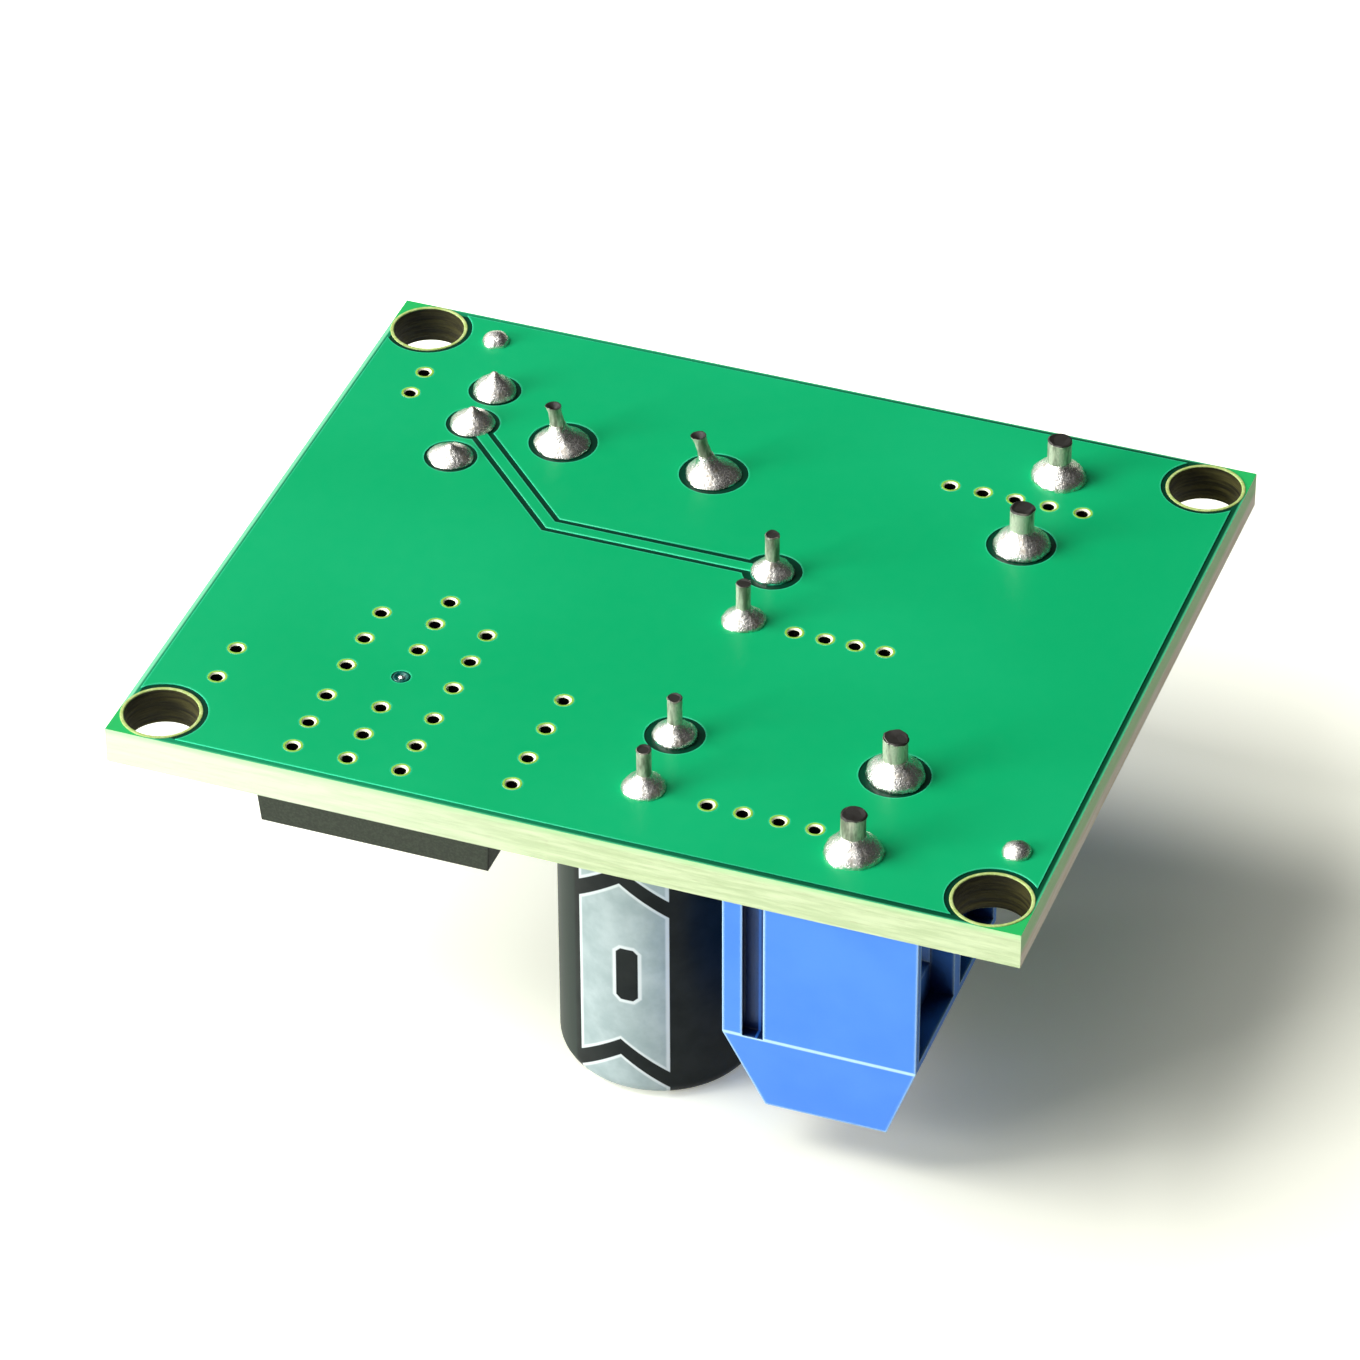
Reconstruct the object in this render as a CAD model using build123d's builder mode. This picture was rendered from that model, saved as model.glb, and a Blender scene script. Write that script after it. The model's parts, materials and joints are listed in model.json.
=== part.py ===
from build123d import *
import math
import os

os.makedirs("parts", exist_ok=True)

# Voltage converter module, lying with its solder side up as it stands on a table.
# The origin is on the table under the board's centre. X runs towards the wire entries,
# Y towards the trimmer's edge and Z up. A depth is measured down from the board's
# component face, so every part below the board is laid out from the face it sits on.

# Circuit board
board_length = 38.0
board_width = 32.0
board_thickness = 1.6
mounting_hole = 3.0
mounting_inset = 1.7
via_hole = 0.55

# Electrolytic capacitors
can_radius = 3.97
can_height = 12.0
can_corner = 0.8
can_lift = 0.3
can_groove_depth = 0.3
can_groove_height = 1.0
can_groove_width = 0.9
vent_score_length = 4.6
vent_score_width = 0.25
vent_score_depth = 0.12
cap_sleeve_wall = 0.13
cap_sleeve_lip = 0.35
cap_lead_wire = 0.6
cap_lead_pitch = 3.5
cap_lead_proud = 1.9
rim_wall = 0.55
seal_thickness = 1.7
cap_places = {"output": (2.37, 0.96), "input": (2.37, -10.57)}

# The two capacitors are the tallest parts, so their end faces stand on the table.
stand_height = can_lift + can_height
solder_face = stand_height + board_thickness

# Power choke: ferrite bobbin, winding, two leads and a shrunk sleeve
choke_x = -5.54
choke_y = 8.33
choke_lift = 0.3
choke_radius = 4.4
choke_post_radius = 2.2
choke_flange = 1.5
choke_sleeve_wall = 0.25
choke_sleeve_lip = 0.8
choke_winding_gap = 0.25
choke_lead_wire = 0.8
choke_lead_pitch = 6.69
choke_lead_proud = 1.9
choke_lead_leans = {"inner": -0.7, "outer": -0.42}

# Trimmer: multi-turn potentiometer with its adjusting screw on the far end
trimmer_x = -12.94
trimmer_y = 8.35
trimmer_width = 4.83
trimmer_length = 9.53
trimmer_height = 10.03
trimmer_wall = 0.55
trimmer_foot = 0.38
trimmer_foot_length = 1.6
trimmer_seal_thickness = 1.1
trimmer_pin_wire = 0.5
trimmer_pin_pitch = 2.54
trimmer_pin_inside = 2.6
trimmer_pin_proud = 0.55
trimmer_screw_side_inset = 1.415
trimmer_screw_end_inset = 1.365
trimmer_head = 2.19
trimmer_head_length = 1.9
trimmer_head_proud = 0.2
trimmer_slot_width = 0.5
trimmer_slot_depth = 0.7
worm_radius = 0.6
worm_end_gap = 0.5
wheel_thickness = 1.1
wheel_teeth = 33
wheel_tooth_depth = 0.25
wheel_stub = 1.0
element_thickness = 0.6
element_side_gap = 0.2
element_end_gap = 0.8
wiper_thickness = 0.2
wiper_ring = 0.9
wiper_rim_gap = 0.5

# Terminal blocks: two poles each, with a cage that the screw draws up on the wire
terminal_x = 11.35
terminal_places = {"output": 10.42, "input": -10.84}
pole_pitch = 5.08
block_back = 4.45
block_front = 3.55
block_height = 10.2
block_crease = 6.65
block_top_back_inset = 1.7
block_top_front_inset = 1.25
block_side_draft = 0.3
key_width = 0.86
key_depth = 0.45
key_offset = 0.83
key_undercut = 0.1
key_fit = 0.06
pole_cavity_width = 4.2
pole_back_wall = 0.9
pole_front_wall = 1.5
pole_clamp_wall = 1.95
entry_recess_width = 4.3
entry_recess_depth = 1.0
entry_recess_low = 0.45
entry_recess_high = 6.3
entry_width = 3.5
entry_low = 1.3
entry_high = 4.5
entry_funnel = 0.35
screw_access = 3.5
screw_offset = 0.35
head_diameter = 3.9
head_height = 1.6
head_bore = 4.2
head_slot_width = 0.6
head_slot_depth = 0.8
head_cross = 2.7
shank_diameter = 2.4
contact_thickness = 0.65
contact_width = 2.5
contact_lift = 0.3
contact_nose = 1.9
contact_bend = 0.45
terminal_pin_wire = 1.0
terminal_pin_proud = 1.9
clamp_width = 4.0
clamp_length = 4.0
clamp_side = 0.65
clamp_corner = 0.5
clamp_floor = 0.7
clamp_roof = 0.9
clamp_travel = 2.2

# Regulator: flat power package with a metal slug and five bent leads
regulator_x = -9.2
regulator_front = -12.5
regulator_width = 10.1
regulator_length = 8.9
regulator_height = 4.4
regulator_lift = 0.1
regulator_taper = 4.0
ejector_mark = 1.6
ejector_mark_depth = 0.1
ejector_mark_inset = 1.9
slug_width = 9.6
slug_thickness = 1.27
slug_overhang = 1.3
slug_buried = 6.6
slug_corner = 1.0
lead_pitch = 1.7
lead_width = 0.8
lead_thickness = 0.5
lead_depth = 2.6
lead_buried = 1.0
lead_knee = 1.1
lead_reach = 4.9
lead_foot = 2.2
lead_bend = 0.45

# Diode
diode_x = 3.1
diode_y = 9.7
diode_length = 4.4
diode_width = 3.6
diode_height = 2.2
diode_lift = 0.12
diode_taper = 5.0
diode_lead_width = 2.0
diode_lead_thickness = 0.2
diode_span = 5.3
diode_foot = 1.1

# Small chip parts: place, turn about Z and height of each
chip_length = 2.0
chip_width = 1.25
chip_edge = 0.1
chip_parts = {
    "output_chip_capacitor": (3.3, 6.5, 0, 0.9),
    "input_chip_capacitor": (-2.95, -4.6, 90, 0.9),
    "feedback_resistor": (-17.0, 4.9, 90, 0.5),
    "divider_resistor": (-17.0, 1.2, 90, 0.5),
}

# Clearances
running_gap = 0.05
rest_gap = 0.1
hole_gap = 0.15

# Solder: base radius on the pad, height of the fillet
terminal_solder = (1.17, 0.85)
cap_solder = (0.9, 0.65)
choke_solder = (1.18, 0.75)
trimmer_solder = (0.95, 0.85)
dome_radius = 0.6
dome_height = 0.45
dome_hole = 0.8
dome_places = [(-14.23, 14.3), (17.3, -11.3)]
solder_waist = 0.12

# Plated holes that join the two copper faces, by group
via_grid_x = [-11.55, -9.22, -6.97]
via_grid_y = [-14.55, -12.9, -11.05, -8.95, -7.07, -5.24]
via_column_x = -2.55
via_column_y = [-13.88, -12.14, -10.16, -8.2]
via_rows = {
    -0.88: [4.59, 5.9, 7.18, 8.44],
    -12.57: [5.1, 6.56, 8.06, 9.54],
    10.85: [7.33, 8.75, 10.16, 11.61, 13.06],
}
via_pairs = [(-16.24, 11.15), (-16.24, 9.55), (-16.13, -9.42), (-16.13, -11.42), (-9.2, -3.65)]

# Derived levels of the clamp mechanism, as depths
foot_top = contact_lift + contact_thickness
open_floor = foot_top + rest_gap
bar_low = open_floor + clamp_floor + clamp_travel + running_gap
bar_top = bar_low + contact_thickness
open_roof = bar_top + running_gap
shut_floor = open_floor + clamp_travel
shut_roof = open_roof + clamp_travel
head_low = shut_roof + clamp_roof + running_gap
head_top = head_low + head_height
screw_x = terminal_x - screw_offset
block_back_x = terminal_x - block_back
block_front_x = terminal_x + block_front

# Derived places
poles = {
    "output_negative": terminal_places["output"] + pole_pitch / 2,
    "output_positive": terminal_places["output"] - pole_pitch / 2,
    "input_positive": terminal_places["input"] + pole_pitch / 2,
    "input_negative": terminal_places["input"] - pole_pitch / 2,
}
choke_lead_places = {
    "outer": (choke_x - choke_lead_pitch / 2, choke_y),
    "inner": (choke_x + choke_lead_pitch / 2, choke_y),
}
trimmer_pin_places = [(trimmer_x, trimmer_y + step * trimmer_pin_pitch) for step in (-1, 0, 1)]
vias = [(x, y) for x in via_grid_x for y in via_grid_y]
vias += [(via_column_x, y) for y in via_column_y]
vias += [(x, y) for y, row in via_rows.items() for x in row]
vias += via_pairs


def level(depth):
    """Plane facing up, at a depth below the board's component face."""
    return Plane.XY.offset(stand_height - depth)


def upright(x, y):
    """Plane across Y through a vertical axis, with its own y as height above the table."""
    return Plane(origin=(x, y, 0), x_dir=(1, 0, 0), z_dir=(0, -1, 0))


def keep(name, label):
    """Name a finished piece and write its file."""
    name.part.label = label
    export_step(name.part, f"parts/{label}.step")


def cap_lead_places(x, y):
    """The two lead places of a capacitor, plus side first."""
    return [(x, y + cap_lead_pitch / 2), (x, y - cap_lead_pitch / 2)]


# Circuit board
with BuildPart() as board:
    with BuildSketch(Plane.XY.offset(stand_height)):
        Rectangle(board_length, board_width)
        with GridLocations(board_length - 2 * mounting_inset, board_width - 2 * mounting_inset, 2, 2):
            Circle(mounting_hole / 2, mode=Mode.SUBTRACT)
        with Locations(*vias):
            Circle(via_hole / 2, mode=Mode.SUBTRACT)
        with Locations(*dome_places):
            Circle(dome_hole / 2, mode=Mode.SUBTRACT)
        with Locations(*trimmer_pin_places):
            Circle(trimmer_pin_wire / 2 + hole_gap, mode=Mode.SUBTRACT)
        with Locations(*choke_lead_places.values()):
            Circle(choke_lead_wire / 2 + hole_gap, mode=Mode.SUBTRACT)
        for place in cap_places.values():
            with Locations(*cap_lead_places(*place)):
                Circle(cap_lead_wire / 2 + hole_gap, mode=Mode.SUBTRACT)
        with Locations(*[(terminal_x, y) for y in poles.values()]):
            Circle(terminal_pin_wire / 2 + hole_gap, mode=Mode.SUBTRACT)
    extrude(amount=board_thickness)
keep(board, "circuit_board")


# Electrolytic capacitors
def can_outline(x, y, grow):
    """Half outline of the can with its crimp groove, grown outwards by the sleeve's wall."""
    radius = can_radius + grow
    corner = can_corner + grow
    end = can_end - grow
    open_end = can_open_end + grow
    groove_middle = can_open_end - can_groove_height
    half = can_groove_width / 2
    with BuildSketch(upright(x, y)) as outline:
        with BuildLine():
            Polyline((0, open_end), (radius, open_end), (radius, groove_middle + half))
            ThreePointArc(
                (radius, groove_middle + half),
                (radius - can_groove_depth, groove_middle),
                (radius, groove_middle - half),
            )
            Line((radius, groove_middle - half), (radius, end + corner))
            CenterArc((radius - corner, end + corner), corner, start_angle=0, arc_size=-90)
            Polyline((radius - corner, end), (0, end), (0, open_end))
        make_face()
    return outline.sketch


can_end = cap_sleeve_wall
can_open_end = stand_height - can_lift
for rail, (cap_x, cap_y) in cap_places.items():
    cap_axis = Axis((cap_x, cap_y, 0), (0, 0, 1))
    with BuildPart() as can:
        revolve(can_outline(cap_x, cap_y, 0), axis=cap_axis)
        with BuildSketch(Plane.XY.offset(can_open_end - seal_thickness)):
            with Locations((cap_x, cap_y)):
                Circle(can_radius - rim_wall)
        extrude(amount=seal_thickness, mode=Mode.SUBTRACT)
        with BuildSketch(Plane.XY.offset(can_end)):
            with Locations((cap_x, cap_y)):
                Rectangle(vent_score_length, vent_score_width)
                Rectangle(vent_score_width, vent_score_length)
        extrude(amount=vent_score_depth, mode=Mode.SUBTRACT)
    keep(can, f"{rail}_capacitor_can")

    with BuildPart() as sleeve:
        revolve(can_outline(cap_x, cap_y, cap_sleeve_wall), axis=cap_axis)
        revolve(can_outline(cap_x, cap_y, 0), axis=cap_axis, mode=Mode.SUBTRACT)
        with BuildSketch():
            with Locations((cap_x, cap_y)):
                Circle(can_radius - can_corner - cap_sleeve_lip)
        extrude(amount=stand_height, mode=Mode.SUBTRACT)
    keep(sleeve, f"{rail}_capacitor_sleeve")

    with BuildPart() as leads:
        with BuildSketch(Plane.XY.offset(can_open_end - seal_thickness)):
            with Locations(*cap_lead_places(cap_x, cap_y)):
                Circle(cap_lead_wire / 2)
        extrude(amount=seal_thickness + can_lift + board_thickness + cap_lead_proud)
    keep(leads, f"{rail}_capacitor_leads")

    with BuildPart() as seal:
        with BuildSketch(Plane.XY.offset(can_open_end - seal_thickness)):
            with Locations((cap_x, cap_y)):
                Circle(can_radius - rim_wall)
        extrude(amount=seal_thickness)
        with BuildSketch(Plane.XY.offset(can_open_end)):
            with Locations((cap_x, cap_y)):
                Rectangle(cap_lead_pitch / 2, 2 * can_radius - 4 * rim_wall)
        extrude(amount=-rest_gap, mode=Mode.SUBTRACT)
        add(leads.part, mode=Mode.SUBTRACT)
    keep(seal, f"{rail}_capacitor_seal")

# Power choke: the bobbin's end face stands level with the capacitors
choke_axis = Axis((choke_x, choke_y, 0), (0, 0, 1))
bobbin_low = choke_sleeve_wall
bobbin_high = stand_height - choke_lift - choke_sleeve_wall

with BuildPart() as choke_leads:
    for side, (lead_x, lead_y) in choke_lead_places.items():
        bend_height = solder_face + choke_lead_wire / 2
        tip = (lead_x + choke_lead_leans[side], lead_y, solder_face + choke_lead_proud)
        with BuildLine():
            FilletPolyline(
                (lead_x, lead_y, bobbin_high - choke_flange), (lead_x, lead_y, bend_height), tip,
                radius=choke_lead_wire,
            )
        with BuildSketch(Plane.XY.offset(bobbin_high - choke_flange)):
            with Locations((lead_x, lead_y)):
                Circle(choke_lead_wire / 2)
        sweep()
keep(choke_leads, "choke_leads")

with BuildPart() as bobbin:
    with BuildSketch(upright(choke_x, choke_y)):
        with BuildLine():
            Polyline(
                (0, bobbin_low), (choke_radius, bobbin_low),
                (choke_radius, bobbin_low + choke_flange),
                (choke_post_radius, bobbin_low + choke_flange),
                (choke_post_radius, bobbin_high - choke_flange),
                (choke_radius, bobbin_high - choke_flange),
                (choke_radius, bobbin_high), (0, bobbin_high), close=True,
            )
        make_face()
    revolve(axis=choke_axis)
    add(choke_leads.part, mode=Mode.SUBTRACT)
keep(bobbin, "choke_bobbin")

with BuildPart() as winding:
    with BuildSketch(Plane.XY.offset(bobbin_low + choke_flange)):
        with Locations((choke_x, choke_y)):
            Circle(choke_radius - choke_winding_gap)
            Circle(choke_post_radius, mode=Mode.SUBTRACT)
    extrude(amount=bobbin_high - bobbin_low - 2 * choke_flange)
keep(winding, "choke_winding")

with BuildPart() as choke_sleeve:
    with BuildSketch():
        with Locations((choke_x, choke_y)):
            Circle(choke_radius + choke_sleeve_wall)
    extrude(amount=stand_height - choke_lift)
    fillet(choke_sleeve.edges().filter_by(GeomType.CIRCLE), radius=choke_sleeve_wall)
    with BuildSketch(Plane.XY.offset(bobbin_low)):
        with Locations((choke_x, choke_y)):
            Circle(choke_radius)
    extrude(amount=bobbin_high - bobbin_low, mode=Mode.SUBTRACT)
    with BuildSketch():
        with Locations((choke_x, choke_y)):
            Circle(choke_radius - choke_sleeve_lip)
    extrude(amount=stand_height, mode=Mode.SUBTRACT)
    add(choke_leads.part, mode=Mode.SUBTRACT)
keep(choke_sleeve, "choke_sleeve")

# Trimmer, from the pins inwards. Its screw turns a worm, the worm turns the wheel.
screw_place = (
    trimmer_x - trimmer_width / 2 + trimmer_screw_side_inset,
    trimmer_y + trimmer_length / 2 - trimmer_screw_end_inset,
)
wheel_radius = screw_place[1] - trimmer_y - worm_radius - rest_gap
wiper_reach = wheel_radius - wiper_rim_gap
wheel_x = screw_place[0]
element_face = trimmer_x + trimmer_pin_wire / 2
cavity_low = trimmer_foot + trimmer_seal_thickness
cavity_top = trimmer_height - trimmer_wall
cavity_length = trimmer_length - 2 * trimmer_wall
wheel_depth = (cavity_low + cavity_top) / 2
head_depth = trimmer_height + trimmer_head_proud - trimmer_head_length

with BuildPart() as trimmer_pins:
    with BuildSketch(level(trimmer_pin_inside)):
        with Locations(*trimmer_pin_places):
            Circle(trimmer_pin_wire / 2)
    extrude(amount=trimmer_pin_inside + board_thickness + trimmer_pin_proud)
keep(trimmer_pins, "trimmer_pins")

with BuildPart() as trimmer_housing:
    with BuildSketch(level(trimmer_height)):
        with Locations((trimmer_x, trimmer_y)):
            RectangleRounded(trimmer_width, trimmer_length, trimmer_wall / 2)
    extrude(amount=trimmer_height)
    with BuildSketch(level(cavity_top)):
        with Locations((trimmer_x, trimmer_y)):
            Rectangle(trimmer_width - 2 * trimmer_wall, cavity_length)
    extrude(amount=cavity_top, mode=Mode.SUBTRACT)
    with BuildSketch(level(trimmer_foot)):
        with Locations((trimmer_x, trimmer_y)):
            Rectangle(trimmer_width, trimmer_length - 2 * trimmer_foot_length)
            Rectangle(trimmer_width - 2 * trimmer_foot_length, trimmer_length)
    extrude(amount=trimmer_foot, mode=Mode.SUBTRACT)
    with BuildSketch(level(trimmer_height)):
        with Locations(screw_place):
            Circle(trimmer_head / 2 + running_gap)
    extrude(amount=trimmer_height - head_depth + rest_gap, mode=Mode.SUBTRACT)
keep(trimmer_housing, "trimmer_housing")

with BuildPart() as trimmer_seal:
    with BuildSketch(level(cavity_low)):
        with Locations((trimmer_x, trimmer_y)):
            Rectangle(trimmer_width - 2 * trimmer_wall, cavity_length)
    extrude(amount=trimmer_seal_thickness)
    add(trimmer_pins.part, mode=Mode.SUBTRACT)
keep(trimmer_seal, "trimmer_seal")

with BuildPart() as trimmer_screw:
    with BuildSketch(level(trimmer_height + trimmer_head_proud)):
        with Locations(screw_place):
            Circle(trimmer_head / 2)
    extrude(amount=trimmer_head_length)
    with BuildSketch(level(head_depth)):
        with Locations(screw_place):
            Circle(worm_radius)
    extrude(amount=head_depth - cavity_low - worm_end_gap)
    with BuildSketch(level(trimmer_height + trimmer_head_proud)):
        with Locations(screw_place):
            Rectangle(trimmer_slot_width, trimmer_head)
    extrude(amount=trimmer_slot_depth, mode=Mode.SUBTRACT)
keep(trimmer_screw, "trimmer_screw")


def wheel_plane(x):
    """Plane across the wheel's axle, facing +X, centred on the axle."""
    return Plane(origin=(x, trimmer_y, stand_height - wheel_depth), x_dir=(0, 1, 0), z_dir=(1, 0, 0))


wheel_face = wheel_x + wheel_thickness / 2
tooth_step = 2 * math.pi / wheel_teeth
wheel_rim = [
    (reach * math.cos(tooth * tooth_step + turn), reach * math.sin(tooth * tooth_step + turn))
    for tooth in range(wheel_teeth)
    for reach, turn in ((wheel_radius, 0), (wheel_radius - wheel_tooth_depth, tooth_step / 2))
]
with BuildPart() as trimmer_wheel:
    with BuildSketch(wheel_plane(wheel_x - wheel_thickness / 2)):
        with BuildLine():
            Polyline(*wheel_rim, close=True)
        make_face()
    extrude(amount=wheel_thickness)
    with BuildSketch(wheel_plane(wheel_face)):
        Circle(wheel_stub / 2)
    extrude(amount=element_face + element_thickness - wheel_face)
keep(trimmer_wheel, "trimmer_wheel")

with BuildPart() as trimmer_wiper:
    with BuildSketch(wheel_plane(wheel_face)):
        Circle(wiper_ring)
        with Locations((0, -wiper_reach / 2)):
            Rectangle(wiper_ring, wiper_reach)
        Circle(wheel_stub / 2, mode=Mode.SUBTRACT)
    extrude(amount=wiper_thickness)
    with BuildSketch(wheel_plane(wheel_face + wiper_thickness)):
        with Locations((0, wiper_ring / 4 - wiper_reach)):
            Rectangle(wiper_ring, wiper_ring / 2)
    extrude(amount=element_face - running_gap - wheel_face - wiper_thickness)
keep(trimmer_wiper, "trimmer_wiper")

element_height = cavity_top - cavity_low - element_end_gap
with BuildPart() as trimmer_element:
    with BuildSketch(wheel_plane(element_face)):
        with Locations((0, wheel_depth - cavity_low - element_height / 2)):
            Rectangle(cavity_length - 2 * element_side_gap, element_height)
        Circle(wheel_stub / 2 + running_gap, mode=Mode.SUBTRACT)
    extrude(amount=element_thickness)
keep(trimmer_element, "trimmer_element")

# Terminal blocks
key_x = block_back_x + key_offset + key_width / 2
upper_length = block_back + block_front - block_top_back_inset - block_top_front_inset
upper_x = (block_back_x + block_top_back_inset + block_front_x - block_top_front_inset) / 2


def key_outline(width, depth, face_y):
    """Dovetail section that runs along Y from a side face, wider away from its mouth."""
    with BuildSketch(level(block_crease)) as outline:
        with BuildLine():
            Polyline(
                (key_x - width / 2, face_y), (key_x + width / 2, face_y),
                (key_x + width / 2 + key_undercut, face_y + depth),
                (key_x - width / 2 - key_undercut, face_y + depth), close=True,
            )
        make_face()
    return outline.sketch


for rail, block_y in terminal_places.items():
    with BuildPart() as housing:
        with BuildSketch(level(block_crease)):
            with Locations(((block_back_x + block_front_x) / 2, block_y)):
                Rectangle(block_back + block_front, 2 * pole_pitch)
        extrude(amount=block_crease)
        with BuildSketch(level(block_crease)):
            with Locations(((block_back_x + block_front_x) / 2, block_y)):
                Rectangle(block_back + block_front, 2 * pole_pitch)
        with BuildSketch(level(block_height)):
            with Locations((upper_x, block_y)):
                Rectangle(upper_length, 2 * pole_pitch - 2 * block_side_draft)
        loft(ruled=True)
        groove = key_outline(key_width, key_depth + key_fit, block_y - pole_pitch)
        extrude(groove, amount=block_crease, mode=Mode.SUBTRACT)
        tongue = key_outline(key_width - 2 * key_fit, key_depth, block_y + pole_pitch)
        extrude(tongue, amount=block_crease)
        for pole_y in (block_y - pole_pitch / 2, block_y + pole_pitch / 2):
            slot_x = block_back_x + pole_back_wall
            cavity_x = block_back_x + pole_clamp_wall
            cavity_front_x = block_front_x - pole_front_wall
            with BuildSketch(level(bar_top + rest_gap)):
                with Locations(((slot_x + cavity_front_x) / 2, pole_y)):
                    Rectangle(cavity_front_x - slot_x, contact_width + 2 * rest_gap)
            extrude(amount=bar_top + rest_gap, mode=Mode.SUBTRACT)
            with BuildSketch(level(head_low)):
                with Locations(((cavity_x + cavity_front_x) / 2, pole_y)):
                    Rectangle(cavity_front_x - cavity_x, pole_cavity_width)
            extrude(amount=head_low, mode=Mode.SUBTRACT)
            with BuildSketch(level(head_top + running_gap)):
                with Locations((screw_x, pole_y)):
                    Circle(head_bore / 2)
            extrude(amount=head_height + rest_gap, mode=Mode.SUBTRACT)
            with BuildSketch(level(block_height)):
                with Locations((screw_x, pole_y)):
                    Circle(screw_access / 2)
            extrude(amount=head_height, mode=Mode.SUBTRACT)
            recess = Plane(origin=(block_front_x, pole_y, stand_height), x_dir=(0, 1, 0), z_dir=(1, 0, 0))
            with BuildSketch(recess):
                with Locations((0, -(entry_recess_low + entry_recess_high) / 2)):
                    Rectangle(entry_recess_width, entry_recess_high - entry_recess_low)
            extrude(amount=-entry_recess_depth, mode=Mode.SUBTRACT)
            with BuildSketch(recess.offset(-entry_recess_depth)):
                with Locations((0, -(entry_low + entry_high) / 2)):
                    Rectangle(entry_width + 2 * entry_funnel, entry_high - entry_low + 2 * entry_funnel)
            with BuildSketch(recess.offset(-pole_front_wall)):
                with Locations((0, -(entry_low + entry_high) / 2)):
                    Rectangle(entry_width, entry_high - entry_low)
            loft(ruled=True, mode=Mode.SUBTRACT)
    keep(housing, f"{rail}_terminal_housing")

for pole, pole_y in poles.items():
    side = Plane(origin=(0, pole_y, stand_height), x_dir=(1, 0, 0), z_dir=(0, -1, 0))
    back_x = block_back_x + pole_back_wall + rest_gap
    with BuildPart() as contact:
        with BuildSketch(side):
            with BuildLine():
                Polyline(
                    (terminal_x + terminal_pin_wire / 2, -contact_lift), (back_x, -contact_lift),
                    (back_x, -bar_top), (terminal_x + contact_nose, -bar_top),
                    (terminal_x + contact_nose, -bar_low), (back_x + contact_thickness, -bar_low),
                    (back_x + contact_thickness, -foot_top),
                    (terminal_x + terminal_pin_wire / 2, -foot_top), close=True,
                )
            make_face()
        extrude(amount=contact_width / 2, both=True)
        fillet(contact.edges().filter_by(Axis.Y).group_by(Axis.X)[0], radius=contact_bend)
        with BuildSketch(level(contact_lift)):
            with Locations((terminal_x, pole_y)):
                Circle(terminal_pin_wire / 2)
        extrude(amount=contact_lift + board_thickness + terminal_pin_proud)
    keep(contact, f"{pole}_contact")

    clamp_shape = Plane(origin=(screw_x, pole_y, stand_height), x_dir=(0, 1, 0), z_dir=(1, 0, 0))
    with BuildPart() as clamp:
        with BuildSketch(clamp_shape):
            with Locations((0, -(shut_floor + shut_roof + clamp_roof) / 2)):
                RectangleRounded(clamp_width, shut_roof + clamp_roof - shut_floor, clamp_corner)
            with Locations((0, -(shut_floor + clamp_floor + shut_roof) / 2)):
                Rectangle(
                    clamp_width - 2 * clamp_side, shut_roof - shut_floor - clamp_floor,
                    mode=Mode.SUBTRACT,
                )
        extrude(amount=clamp_length / 2, both=True)
        with BuildSketch(level(shut_roof + clamp_roof)):
            with Locations((screw_x, pole_y)):
                Circle(shank_diameter / 2 + running_gap)
        extrude(amount=clamp_roof, mode=Mode.SUBTRACT)
    keep(clamp, f"{pole}_clamp")

    with BuildPart() as screw:
        with BuildSketch(level(head_top)):
            with Locations((screw_x, pole_y)):
                Circle(head_diameter / 2)
        extrude(amount=head_height)
        with BuildSketch(level(head_low)):
            with Locations((screw_x, pole_y)):
                Circle(shank_diameter / 2)
        extrude(amount=head_low - bar_top - running_gap)
        with BuildSketch(level(head_top)):
            with Locations((screw_x, pole_y)):
                Rectangle(head_slot_width, head_diameter)
                Rectangle(head_cross, head_slot_width)
        extrude(amount=head_slot_depth, mode=Mode.SUBTRACT)
    keep(screw, f"{pole}_screw")

# Regulator
slug_front = regulator_front - slug_overhang
body_back = regulator_front + regulator_length
lead_line = [
    (body_back - lead_buried, -lead_depth), (body_back + lead_knee, -lead_depth),
    (body_back + lead_reach - lead_foot, -lead_thickness / 2),
    (body_back + lead_reach, -lead_thickness / 2),
]


def regulator_lead(x):
    """Side view of one bent lead, its foot flat on the board."""
    lead_plane = Plane(origin=(x, 0, stand_height), x_dir=(0, 1, 0), z_dir=(1, 0, 0))
    with BuildSketch(lead_plane) as outline:
        with BuildLine() as line:
            FilletPolyline(*lead_line, radius=lead_bend)
        trace(line.line, line_width=lead_thickness)
    return outline.sketch


with BuildPart() as slug:
    with BuildSketch(level(slug_thickness)):
        with Locations((regulator_x, slug_front + (slug_overhang + slug_buried) / 2)):
            Rectangle(slug_width, slug_overhang + slug_buried)
    extrude(amount=slug_thickness)
    chamfer(slug.edges().filter_by(Axis.Z).group_by(Axis.Y)[0], length=slug_corner)
    with BuildSketch(level(lead_depth + lead_thickness / 2)):
        riser_low = regulator_front + slug_buried - lead_width
        with Locations((regulator_x, (riser_low + body_back - lead_buried) / 2)):
            Rectangle(lead_width, body_back - lead_buried - riser_low)
    extrude(amount=lead_depth + lead_thickness / 2 - slug_thickness / 2)
    extrude(regulator_lead(regulator_x), amount=lead_width / 2, both=True)
keep(slug, "regulator_slug")

with BuildPart() as regulator_leads:
    for step in (-2, -1, 1, 2):
        lead_side = regulator_lead(regulator_x + step * lead_pitch)
        extrude(lead_side, amount=lead_width / 2, both=True)
keep(regulator_leads, "regulator_leads")

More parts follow.
